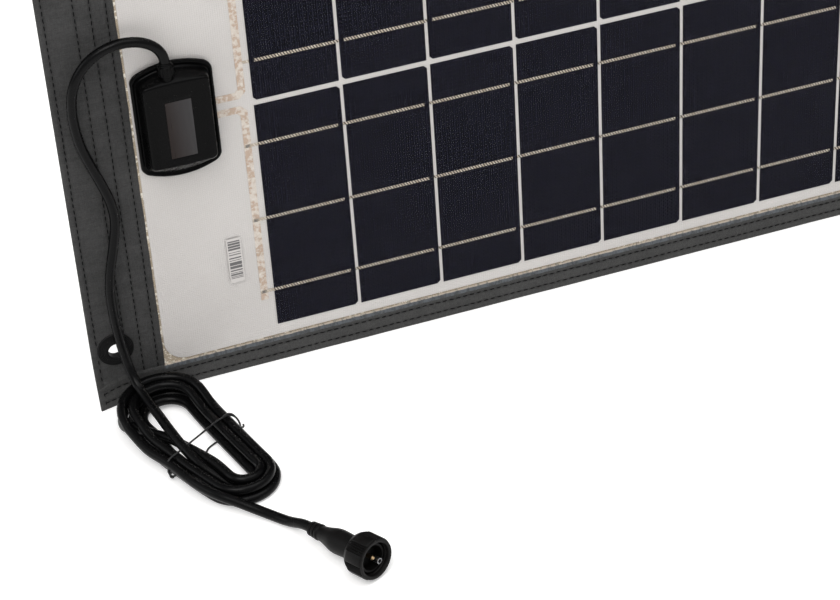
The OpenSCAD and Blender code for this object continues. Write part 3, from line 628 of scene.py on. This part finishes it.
def add_cord():
    """The lead, and its length in metres."""
    line = cord_line()
    cord = round_curve("cord", [line], CORD_D / 2, 4)
    cord.data.materials.append(JACKET)
    settle(cord, "jacket", "cord_run", "cord_hank", "cord_tail")
    return cord, float(np.linalg.norm(np.diff(line, axis=0), axis=1).sum()) * MM


# ---- the tie round the hank ----

def add_tie():
    """One coated wire: over the bundles, round them and back under the hole, with its ends twisted."""
    loop = [(9.4, -28.6, 3.2), (8.6, -29.3, 6.6), (7.6, -28.4, 10.4), (7.0, -25.4, 12.5), (6.0, -18, 13.2),
            (4.2, -10, 13.6), (1.0, 0, 13.0), (-1.6, 8, 12.6), (-3.4, 15, 12.3), (-3.9, 21, 12.2),
            (-3.2, 25.6, 10.2), (-1.8, 27.8, 6.2), (-0.4, 27.6, 2.4), (0.0, 24, 0.75), (-0.2, 14, 0.65),
            (1.4, 4, 0.65), (5, -2, 0.65), (7.5, -12, 0.65), (9.4, -22, 0.75), (10.2, -27.6, 1.5),
            (10.2, -29.4, 3.4), (9.8, -30.0, 5.4)]
    twist_r, twist = 0.75, 1.25
    knot = [(9.2 + 0.34 * a, -29.4 - twist_r * math.sin(a * twist),
             6.4 - 0.42 * a + twist_r * math.cos(a * twist)) for a in range(11)]
    tip = [(-0.6, 27.5, 2.0), (1.8, 27.8, 3.2), (3.4, 27.8, 5.0), (4.0, 27.4, 6.8)]
    tail = [(-3.9, 19.0, 12.9), (-3.6, 21.8, 13.3), (-2.6, 24.2, 12.6), (-1.2, 25.4, 11.0)]
    lines = [resampled([from_hank(*p) for p in points], 0.8) for points in (loop, knot, tip, tail)]
    wire = round_curve("twist_tie_wire", lines, 0.6, 2)
    mesh = bpy.data.meshes.new_from_object(wire.evaluated_get(bpy.context.evaluated_depsgraph_get()))
    bpy.data.objects.remove(wire)
    mesh.materials.clear()
    mesh.materials.append(TIE_PLASTIC)
    mesh.shade_smooth()
    tie = bpy.data.objects.new("hank_tie", mesh)
    bpy.context.scene.collection.objects.link(tie)
    return settle(tie, "tie", "twist_tie")


# ---- cloth: back, borders and bindings ----

def curl(x, z):
    """How far the lower left corner has curled towards the sun side."""
    reach = 47.0  # along the two edges together
    p = (x - LEFT) + (z - FLOOR)
    return 6.2 * (1 - p / reach) ** 2 if p < reach else 0.0


def dent(u, seams, width=0.8):
    """1 on a seam, falling to 0 beside it."""
    return sum(math.exp(-((u - s) / width) ** 2) for s in seams)


def lumps(x, z, size):
    """Smooth noise from -1 to 1 over the sheet, with lumps of this size."""
    return noise.noise(Vector((x / size, z / size, 3.7)))


def near_eyelet(x, z):
    """Distance to the nearest eyelet's middle."""
    return min(math.hypot(x - ex, z - ez) for ex, ez in EYELETS)


def side_depth(x, z):
    """Depth of a side border's face: quilted between its seams, folded over at the outer edge."""
    u = min(x - LEFT, RIGHT - x)
    depth = BORDER_Y - 0.32 * dent(u, SIDE_SEAMS) * (1 + 0.35 * math.sin(z * 1.7 + u))
    depth += 0.1 * lumps(x, z, 9) + 0.26 * lumps(x, z, 30)
    depth += 0.26 * noise.noise(Vector((x / 19, z / 6.5, 1.7)))
    depth += 0.1 * math.sin(z * 1.15 + lumps(x, z, 20) * 3) * dent(u, SIDE_SEAMS, 2.4)
    if u < 1.4:
        depth -= 0.7 * (1 - u / 1.4) ** 2
    close = near_eyelet(x, z)
    if close < 18:
        flat = min(1.0, (18 - close) / 5)
        depth += (BORDER_Y - 0.06 - depth) * flat
    return depth + curl(x, z)


def binding_edge(x, v):
    """Height of a point of a binding over its outer edge: its inner edge dips where the strip is folded in."""
    end = min(x - LEFT, RIGHT - x)
    dip = 4.6 * max(0.0, 1 - end / 19.0) ** 1.4
    wander = 0.25 * lumps(x, 0, 16) + 0.12 * math.sin(x * 0.71)
    return v * (BINDING_H - dip) / BINDING_H + wander * v / BINDING_H


def binding_height(side, x, v):
    up = binding_edge(x, v)
    return FLOOR + up if side < 0 else TOP - up


def binding_depth(x, v):
    """Depth of a binding's face: two sewn channels and a puckered selvedge."""
    depth = BINDING_Y - 0.3 * dent(v, BINDING_SEAMS) * (1 + 0.4 * math.sin(x * 1.55 + v))
    depth += 0.12 * math.sin(x * 0.74 + 2.2 * lumps(x, v, 14)) * dent(v, BINDING_SEAMS, 2.6)
    depth += 0.16 * lumps(x, v, 24)
    roll = math.exp(-((v - 16.3) / 1.3) ** 2)
    depth += roll * (0.42 + 0.3 * math.sin(x * 0.83 + 2.5 * lumps(x, 9, 17)))
    if v < 1.3:
        depth -= 0.6 * (1 - v / 1.3) ** 2
    if v > 17.4:
        depth -= 0.35 * (v - 17.4) / 0.8
    end = min(x - LEFT, RIGHT - x)
    if end < 1.2:
        depth -= 0.6 * (1 - end / 1.2) ** 2
    return depth


def steps(low, high, pitch, *marks):
    """Grid lines between two ends, finer where asked: each mark is (from, to, pitch)."""
    lines, at = [low], low
    while at < high - 1e-6:
        fine = min([p for a, b, p in marks if a <= at < b] + [pitch])
        at = min(high, at + fine)
        lines.append(at)
    if len(lines) > 2 and lines[-1] - lines[-2] < 0.2 * pitch:
        lines.pop(-2)
    return lines


def cloth_shell(name, xs, zs, front, back, material, place=lambda x, z: (x, z), keep=lambda x, z: True):
    """A closed strip of cloth over a grid, with a front and a back depth, and holes where cells aren't kept."""
    kept = {(i, j) for i in range(len(xs) - 1) for j in range(len(zs) - 1)
            if keep((xs[i] + xs[i + 1]) / 2, (zs[j] + zs[j + 1]) / 2)}
    index, points, faces = {}, [], []

    def corner(i, j, side):
        key = (i, j, side)
        if key not in index:
            index[key] = len(points)
            x, z = place(xs[i], zs[j])
            depth = (front, back)[side](xs[i], zs[j])
            points.append((x, -depth, z))
        return index[key]

    for i, j in sorted(kept):
        ring = [(i, j), (i + 1, j), (i + 1, j + 1), (i, j + 1)]
        faces.append([corner(*c, 0) for c in ring])
        faces.append([corner(*c, 1) for c in reversed(ring)])
        for k, step in enumerate(((0, -1), (1, 0), (0, 1), (-1, 0))):
            if (i + step[0], j + step[1]) not in kept:
                a, b = ring[k], ring[(k + 1) % 4]
                faces.append([corner(*a, 0), corner(*a, 1), corner(*b, 1), corner(*b, 0)])
    obj = add_mesh(name, points, faces, material)
    sharpen(obj, 50)
    return obj


def add_back_cloth():
    xs = steps(LEFT, RIGHT, 12, (LEFT, LEFT + 50, 4), (RIGHT - 30, RIGHT, 3), (LEFT, LEFT + 30, 2.5))
    zs = steps(FLOOR, TOP, 10, (FLOOR, FLOOR + 56, 3), (TOP - 56, TOP, 3))
    hole = 8.5
    cloth = cloth_shell("back_cloth_sheet", xs, zs, lambda x, z: CLOTH_Y + curl(x, z) - 0.02,
                        lambda x, z: max(0.0, curl(x, z)), BACK_CLOTH,
                        keep=lambda x, z: near_eyelet(x, z) > hole)
    return settle(cloth, "cloth", "back_cloth")


def add_side_border(side):
    """The left (-1) or right (1) border."""
    start = LEFT if side < 0 else RIGHT - BORDER_W
    xs = [start + u for u in np.linspace(0, BORDER_W, 53)]
    zs = [FLOOR + v for v in np.linspace(0, TOP - FLOOR, 300)]

    def back(x, z):
        on_carrier = min(x - LEFT, RIGHT - x) > BORDER_W - CARRIER_LAP
        return (CARRIER_Y if on_carrier else CLOTH_Y) + curl(x, z) + 0.02

    def place(x, z):
        # The cut inner edge wanders a little
        u = min(x - LEFT, RIGHT - x)
        if u > BORDER_W - 0.5:
            x -= side * (0.22 * lumps(7, z, 3) + 0.25 * lumps(2, z, 21) - 0.12)
        return x, z

    name = "left_border_cloth" if side < 0 else "right_border_cloth"
    border = cloth_shell(name, xs, zs, side_depth, back, BORDER_CLOTH, place,
                         lambda x, z: near_eyelet(x, z) > 7.4)
    return settle(border, "border", "left_border" if side < 0 else "right_border")


def add_binding(side):
    """The bottom (-1) or top (1) binding; v counts from its outer edge."""
    xs = steps(LEFT, RIGHT, 2.2, (LEFT, LEFT + 60, 1.2))
    vs = list(np.linspace(0, BINDING_H, 24))

    def front(x, v):
        return binding_depth(x, v) + curl(x, binding_height(side, x, v))

    def back(x, v):
        over_border = x < WIN_LEFT or x > WIN_RIGHT
        inner = CARRIER_Y if v > BINDING_H - CARRIER_LAP else CLOTH_Y
        return (BORDER_Y - 0.15 if over_border else inner) + curl(x, binding_height(side, x, v)) + 0.02

    name = "bottom_binding_cloth" if side < 0 else "top_binding_cloth"
    strip = cloth_shell(name, xs, vs, front, back, BINDING, lambda x, v: (x, binding_height(side, x, v)))
    if side > 0:
        strip.data.flip_normals()
    return settle(strip, "binding", "bottom_binding" if side < 0 else "top_binding")


# ---- stitches, by geometry nodes ----

def node_group(name, inputs):
    """A geometry tree with a mesh in and out, and named number inputs."""
    tree = bpy.data.node_groups.new(name, "GeometryNodeTree")
    tree.interface.new_socket("Geometry", in_out="INPUT", socket_type="NodeSocketGeometry")
    sockets = {}
    for label, value in inputs.items():
        kind = "NodeSocketInt" if isinstance(value, int) else "NodeSocketFloat"
        socket = tree.interface.new_socket(label, in_out="INPUT", socket_type=kind)
        socket.default_value = value
        sockets[label] = socket.identifier
    tree.interface.new_socket("Geometry", in_out="OUTPUT", socket_type="NodeSocketGeometry")
    return tree, sockets


class Geometry:
    """Adds nodes to a geometry tree, with their settings and the values or links of their sockets."""

    def __init__(self, tree):
        self.tree = tree
        self.start = tree.nodes.new("NodeGroupInput")
        self.end = tree.nodes.new("NodeGroupOutput")

    def node(self, kind, settings=None, **inputs):
        made = self.tree.nodes.new(kind)
        for key, value in (settings or {}).items():
            setattr(made, key, value)
        for key, value in inputs.items():
            socket = made.inputs[key.replace("_", " ")]
            if isinstance(value, bpy.types.NodeSocket):
                self.tree.links.new(value, socket)
            else:
                socket.default_value = value
        return made.outputs[0]

    def named(self, label):
        return self.start.outputs[label]

    def finish(self, geometry):
        self.tree.links.new(geometry, self.end.inputs[0])


def stitch_tree(material):
    """Stitches along lines: one small bead to each pitch, each leaning its own way."""
    tree, sockets = node_group("stitch_rows", {"Pitch": 0.004, "Length": 0.003, "Width": 0.0006, "Seed": 3})
    g = Geometry(tree)
    line = g.node("GeometryNodeMeshToCurve", Mesh=g.start.outputs[0])
    dots = tree.nodes.new("GeometryNodeCurveToPoints")
    dots.mode = "LENGTH"
    tree.links.new(line, dots.inputs["Curve"])
    tree.links.new(g.named("Pitch"), dots.inputs["Length"])
    ball = g.node("GeometryNodeMeshUVSphere", Segments=8, Rings=4, Radius=0.5)
    lie = g.node("FunctionNodeAlignRotationToVector", {"axis": "X"}, Vector=dots.outputs["Tangent"])
    lean = tree.nodes.new("FunctionNodeRandomValue")
    lean.data_type = "FLOAT_VECTOR"
    lean.inputs[0].default_value = (-0.05, -0.09, -0.05)
    lean.inputs[1].default_value = (0.05, 0.09, 0.05)
    tree.links.new(g.named("Seed"), lean.inputs["Seed"])
    leant = g.node("FunctionNodeRotateRotation", {"rotation_space": "LOCAL"}, Rotation=lie,
                   Rotate_By=lean.outputs[0])
    size = g.node("ShaderNodeCombineXYZ", X=g.named("Length"), Y=g.named("Width"), Z=g.named("Width"))
    placed = g.node("GeometryNodeInstanceOnPoints", Points=dots.outputs["Points"], Instance=ball,
                    Rotation=leant, Scale=size)
    real = g.node("GeometryNodeRealizeInstances", Geometry=placed)
    smooth = g.node("GeometryNodeSetShadeSmooth", Geometry=real)
    g.finish(g.node("GeometryNodeSetMaterial", Geometry=smooth, Material=material))
    return tree, sockets


def run_tree(name, points, edges, tree, sockets, **inputs):
    """Evaluates a geometry tree on lines in millimetres and gives the result as a plain piece."""
    mesh = bpy.data.meshes.new(name)
    mesh.from_pydata([tuple(c * MM for c in p) for p in points], edges, [])
    base = bpy.data.objects.new(name + "_lines", mesh)
    bpy.context.scene.collection.objects.link(base)
    modifier = base.modifiers.new("tree", "NODES")
    modifier.node_group = tree
    for label, value in inputs.items():
        modifier[sockets[label]] = value
    made = bpy.data.meshes.new_from_object(base.evaluated_get(bpy.context.evaluated_depsgraph_get()))
    base.modifiers.remove(modifier)
    bpy.data.objects.remove(base)
    obj = bpy.data.objects.new(name, made)
    bpy.context.scene.collection.objects.link(obj)
    return obj


def add_stitches():
    """Rows of stitches along every seam, on both sides of the cloth, left out round the eyelets."""
    points, edges = [], []
    proud, sunk, clear = 0.12, 0.1, 12.6

    def row(line):
        first = len(points)
        points.extend(line)
        edges.extend((i, i + 1) for i in range(first, len(points) - 1))

    for s in SIDE_SEAMS:
        for x in (LEFT + s, RIGHT - s):
            line = []
            for z in np.arange(FLOOR + BINDING_H + 1.5, TOP - BINDING_H - 1.5, 2.0):
                if near_eyelet(x, z) < clear:
                    if len(line) > 1:
                        row(line)
                    line = []
                    continue
                line.append((x + 0.25 * lumps(s, z, 25), -side_depth(x, z) - proud, z))
            row(line)
            # The same seam on the back
            row([(x, sunk - curl(x, z), z) for z in np.arange(FLOOR + 3, TOP - 3, 2.0)
                 if near_eyelet(x, z) > clear])

    def on_binding(x, v, side, wander):
        z = binding_height(side, x, v)
        return x, -binding_depth(x, v) - curl(x, z) - proud, z + wander * lumps(x, v, 30)

    for v in BINDING_SEAMS:
        for side in (-1, 1):
            row([on_binding(x, v, side, 0.2) for x in np.arange(LEFT + 4.5, RIGHT - 4.5, 2.0)])
            z = FLOOR + v if side < 0 else TOP - v
            row([(x, sunk - curl(x, z), z) for x in np.arange(LEFT + 3, RIGHT - 3, 2.0)])
    # A short row closes each end of a binding
    for x in (LEFT + 3.6, RIGHT - 3.6):
        for side in (-1, 1):
            row([on_binding(x, v, side, 0.0) for v in np.arange(5.0, 12.6, 1.5)])
    tree, sockets = stitch_tree(THREAD)
    stitches = run_tree("border_stitches", points, edges, tree, sockets,
                        Pitch=0.0045, Length=0.0035, Width=0.00075)
    settle(stitches, "thread", "border_thread")


# ---- turned pieces ----

def turned(profile, axis, segments, radius=None):
    """A ring turned from a closed profile of (radius, place along the axis), anticlockwise.

    radius may change a radius by its angle; axis gives a world point from (across, up, along)."""
    points, faces, count = [], [], len(profile)
    for i in range(segments):
        a = 2 * math.pi * i / segments
        for r, s in profile:
            if radius:
                r = radius(r, s, a)
            points.append(axis(r * math.cos(a), r * math.sin(a), s))
        here, there = i * count, (i + 1) % segments * count
        for k in range(count):
            m = (k + 1) % count
            faces.append((here + k, there + k, there + m, here + m))
    return points, faces


def joined(name, parts, material, crisp=40):
    """One mesh from several (points, faces) parts, with its faces turned outwards."""
    points, faces = [], []
    for part_points, part_faces in parts:
        first = len(points)
        points += part_points
        faces += [[v + first for v in f] for f in part_faces]
    obj = add_mesh(name, points, faces, material)
    bm = bmesh.new()
    bm.from_mesh(obj.data)
    bmesh.ops.remove_doubles(bm, verts=bm.verts, dist=1e-7)
    bmesh.ops.recalc_face_normals(bm, faces=bm.faces)
    bm.to_mesh(obj.data)
    bm.free()
    sharpen(obj, crisp)
    return obj


def add_eyelets():
    """Moulded eyelets: a domed face with fine rings, and a barrel through the cloth."""
    foot = BORDER_Y + 0.02
    profile = [(4.75, -1.0), (5.7, -1.0), (5.7, foot), (11.3, foot), (11.3, 2.25), (11.1, 2.5)]
    r = 10.9
    while r > 6.3:
        rise = 2.5 + 1.75 * math.sin(math.pi / 2 * min(1, (11.1 - r) / 4.2))
        profile += [(r, rise), (r - 0.28, rise + 0.1), (r - 0.5, rise + 0.02), (r - 0.66, rise - 0.18)]
        r -= 0.82
    profile += [(6.0, 4.28), (5.5, 4.3), (5.05, 4.18), (4.82, 3.9), (4.75, 3.4)]
    parts = []
    for ex, ez in EYELETS:
        parts.append(turned(profile, lambda u, v, s, ex=ex, ez=ez: (ex + u, -s, ez + v), 72))
    settle(joined("eyelet_faces", parts, EYELET_PLASTIC), "eyelet", "eyelet_rings")


# ---- junction box ----

def bowed_ring(half_w, half_h, bow, corner, up, depth):
    """A ring of points round a rectangle with round corners and bowed ends, seen from the sun side."""
    sides, arcs = 10, 6
    flat = []
    quarter = [(1, -1), (1, 1), (-1, 1), (-1, -1)]
    for k, (sx, sz) in enumerate(quarter):
        cx, cz = sx * (half_w - corner), sz * (half_h - corner)
        start = -math.pi / 2 + k * math.pi / 2
        for i in range(arcs + 1):
            a = start + math.pi / 2 * i / arcs
            flat.append((cx + corner * math.cos(a), cz + corner * math.sin(a)))
        flat_end = flat[-1]
        nx, nz = quarter[(k + 1) % 4]
        ex, ez = nx * (half_w - corner), nz * (half_h - corner)
        end = (ex + corner * math.cos(start + math.pi / 2), ez + corner * math.sin(start + math.pi / 2))
        for i in range(1, sides):
            t = i / sides
            flat.append(((1 - t) * flat_end[0] + t * end[0], (1 - t) * flat_end[1] + t * end[1]))
    return [(BOX_X + x, -depth,
             BOX_Z + up + z - math.copysign(bow, z) * (x / half_w) ** 2 * min(1.0, abs(z) / half_h))
            for x, z in flat]


def lofted(rings):
    """A closed skin over rings of as many points each."""
    count = len(rings[0])
    points = [p for ring in rings for p in ring]
    faces = []
    for here in range(0, count * (len(rings) - 1), count):
        for k in range(count):
            m = (k + 1) % count
            faces.append((here + k, here + m, here + count + m, here + count + k))
    for start in (0, count * (len(rings) - 1)):
        ring = points[start:start + count]
        points.append(tuple(sum(p[c] for p in ring) / count for c in range(3)))
        faces += [(len(points) - 1, start + k, start + (k + 1) % count) for k in range(count)]
    return points, faces


def add_box_lid():
    """The lid: a bowed flange with a raised rim, and a body with sloping ends and a recessed plate."""
    low, rim, top = 3.0, 6.0, 15.6
    plate_w, plate_h = 7.75, 18.5
    # Each ring: half width, half height, bow of the ends, corner radius, shift up, height over the sheet
    inside = [(16.2, 24.4, 0.5, 2.0, 2, 14.0), (17.7, 31.2, 4.4, 2.5, 0, 4.7), (20.9, 34.4, 5.0, 3.0, 0, 4.6)]
    flange = [(20.9, 34.4, 5.0, 3.0, 0, low), (23.4, 36.9, 6.0, 3.8, 0, low),
              (23.9, 37.4, 6.0, 4.2, 0, low + 0.3), (24.0, 37.5, 6.0, 4.2, 0, low + 0.9),
              (24.0, 37.5, 6.0, 4.2, 0, rim - 1.1),
              (23.8, 37.3, 6.0, 4.2, 0, rim - 0.45), (23.3, 36.8, 6.0, 4.0, 0, rim - 0.08),
              (22.9, 36.4, 5.9, 3.8, 0, rim), (22.5, 36.0, 5.8, 3.6, 0, rim - 0.12),
              (22.1, 35.6, 5.7, 3.5, 0, rim - 0.6), (21.7, 35.0, 5.6, 3.4, 0, rim - 0.85),
              (21.2, 34.3, 5.4, 3.3, 0, rim - 0.8), (20.8, 33.8, 5.1, 3.2, 0, rim - 0.35)]
    body = [(20.55, 33.4, 5.0, 3.1, 0, rim + 0.5), (20.3, 32.5, 4.1, 3.0, 0.35, rim + 2.4),
            (20.0, 30.8, 2.7, 2.8, 1.0, rim + 5.0), (19.7, 29.0, 1.5, 2.6, 1.6, rim + 7.4),
            (19.45, 27.9, 1.0, 2.5, 2.0, rim + 8.6), (19.1, 27.4, 0.8, 2.4, 2.0, rim + 9.2),
            (18.6, 26.8, 0.7, 2.2, 2.0, rim + 9.55), (17.9, 26.1, 0.6, 2.0, 2.0, top)]
    recess = [(plate_w + 0.35, plate_h + 0.35, 0.05, 0.9, -1, top),
              (plate_w + 0.05, plate_h + 0.05, 0.05, 0.7, -1, top - 0.15),
              (plate_w, plate_h, 0.05, 0.6, -1, top - 0.4)]
    shell = [bowed_ring(*ring) for ring in inside + flange + body + recess]
    spigot = turned([(3.1, -2.5), (3.8, -2.5), (3.8, 7.2), (3.1, 7.2)], gland_axis, 40)
    lid = joined("box_lid_shell", [lofted(shell), spigot], BOX_PLASTIC, 35)
    settle(lid, "box", "box_lid")


def gland_axis(u, v, s):
    return (GLAND_X + u, GLAND_Y + v, GLAND_Z + s)


def add_gland():
    """The ribbed gland nut, and the stepped seal that grips the lead."""
    ribs, rib_depth = 14, 0.34

    def ribbed(r, s, a):
        if r < 3.95 or s > 9.6:
            return r
        return r - rib_depth * (0.5 + 0.5 * math.cos(a * ribs)) ** 2

    nut = [(3.15, 4.2), (4.5, 4.2), (4.8, 4.5), (4.8, 9.2), (4.55, 9.75), (3.9, 10.3), (3.15, 10.4)]
    seal = [(3.05, 10.2), (3.8, 10.2), (3.85, 10.9), (3.45, 11.05), (3.5, 11.5), (3.3, 11.8), (3.05, 11.8)]
    settle(joined("gland_nut_ribbed", [turned(nut, gland_axis, 112, ribbed)], BOX_PLASTIC, 35),
           "box", "gland_nut")
    return settle(joined("gland_seal_collar", [turned(seal, gland_axis, 48)], JACKET, 35),
                  "jacket", "gland_seal")


# ---- plug ----

PLUG_HEADING, PLUG_TIP = math.radians(-63), math.radians(6)
PLUG_DOWN = Vector((math.cos(PLUG_HEADING) * math.sin(PLUG_TIP), math.sin(PLUG_HEADING) * math.sin(PLUG_TIP),
                    -math.cos(PLUG_TIP)))
PLUG_SIDE = PLUG_AXIS.cross(PLUG_DOWN)


def plug_axis(u, v, s):
    return tuple(PLUG_START + PLUG_DOWN * u + PLUG_SIDE * v + PLUG_AXIS * s)


def add_plug_body():
    """The overmoulded body: three ribs on the tail, a waist, a swell and a neck inside the ring."""
    ribs = [(3.1, -0.3), (3.6, -0.35), (4.15, -0.15), (4.3, 0.3), (4.3, 1.5), (4.15, 1.95), (3.75, 2.1),
            (3.72, 2.45), (4.2, 2.6), (4.5, 2.95), (4.55, 4.15), (4.4, 4.6), (3.95, 4.75), (3.9, 5.1),
            (4.45, 5.25), (4.75, 5.6), (4.8, 6.9), (4.6, 7.3), (4.3, 7.55), (4.3, 8.2)]
    swell = [(4.55, 9.2), (4.85, 11), (5.3, 13), (6.0, 15.5), (6.65, 17.8), (7.05, 19.8), (7.25, 22), (7.2, 25),
             (7.05, 28.5), (6.85, 32), (6.8, 34)]
    neck = [(7.0, 34.6), (7.25, 35.1), (7.25, 36.6), (7.75, 37.0), (7.75, 38.6), (8.95, 38.6), (8.95, 40.55)]
    inner = [(0.4, 40.55), (0.4, 2.0), (3.0, 2.0)]
    body = joined("plug_overmould", [turned(ribs + swell + neck + inner, plug_axis, 72)], PLUG_RUBBER, 42)
    return settle(body, "plug", "plug_body")


def add_coupling_ring():
    """The turning ring: six smooth lands with groups of notches between them, bevelled at the back."""
    bore, mouth, back = 8.05, 9.75, 36.0
    # Profiles as (radius, distance from the ring's back edge)
    bevel = [(bore, 0), (10.0, 0), (10.7, 0.25), (11.1, 0.8), (11.5, 1.5), (12.2, 2.6)]
    grip_face = [(12.5, 3.4), (12.5, 13.6), (12.3, 14.1), (11.9, 14.4), (11.9, 14.9), (11.4, 15.0), (10.6, 15.0)]
    inner = [(10.0, 14.7), (mouth, 14.2), (mouth, 12.6), (10.05, 12.2), (mouth, 11.8), (mouth, 10.4),
             (10.05, 10.0), (mouth, 9.6), (mouth, 2.3), (bore, 2.3)]
    outer = [(r, back + s) for r, s in bevel + grip_face + inner]
    lands, notches, notch_depth = 6, 4, 0.95

    def grip(r, s, a):
        if r < 11.6 or s > back + 14.2 or s < back + 1.2:
            return r
        turn = (a / (2 * math.pi) * lands + 0.15) % 1.0
        if turn < 0.5:
            return r
        notch = 0.5 - 0.5 * math.cos(2 * math.pi * notches * (turn - 0.5) / 0.5)
        return r - notch_depth * min(1.0, notch * 1.5) - 0.15

    ring = joined("coupling_ring_grip", [turned(outer, plug_axis, 288, grip)], RING_PLASTIC, 33)
    return settle(ring, "coupling", "coupling_ring", body="coupling")


# ---- clear film ----

def add_film():
    """The clear front: one thin sheet with round corners over the cells, embossed by its finish."""
    inset, r = 1.2, 14.0
    x0, x1, z0, z1 = WIN_LEFT + inset, WIN_RIGHT - inset, WIN_LOW + inset, WIN_HIGH - inset
    corners = ((x1 - r, z0 + r, -90), (x1 - r, z1 - r, 0), (x0 + r, z1 - r, 90), (x0 + r, z0 + r, 180))
    outline = []
    for cx, cz, start in corners:
        for i in range(13):
            a = math.radians(start + 7.5 * i)
            outline.append((cx + r * math.cos(a), cz + r * math.sin(a)))
    back = [(x, -FILM_Y, z) for x, z in outline]
    front = [(x, -FACE_Y, z) for x, z in outline]
    film = joined("clear_front_film", [lofted([back, front])], clear_film(), 30)
    settle(film, "clear_film", "front_film", "front_encapsulant")


CORD, CORD_LENGTH = add_cord()
coat_cad_nodes()
TIE = add_tie()
BACK = add_back_cloth()
SIDES = [add_side_border(side) for side in (-1, 1)]
BINDINGS = [add_binding(side) for side in (-1, 1)]
add_stitches()
add_eyelets()
add_box_lid()
GLAND_SEAL = add_gland()
PLUG = add_plug_body()
RING = add_coupling_ring()
add_film()
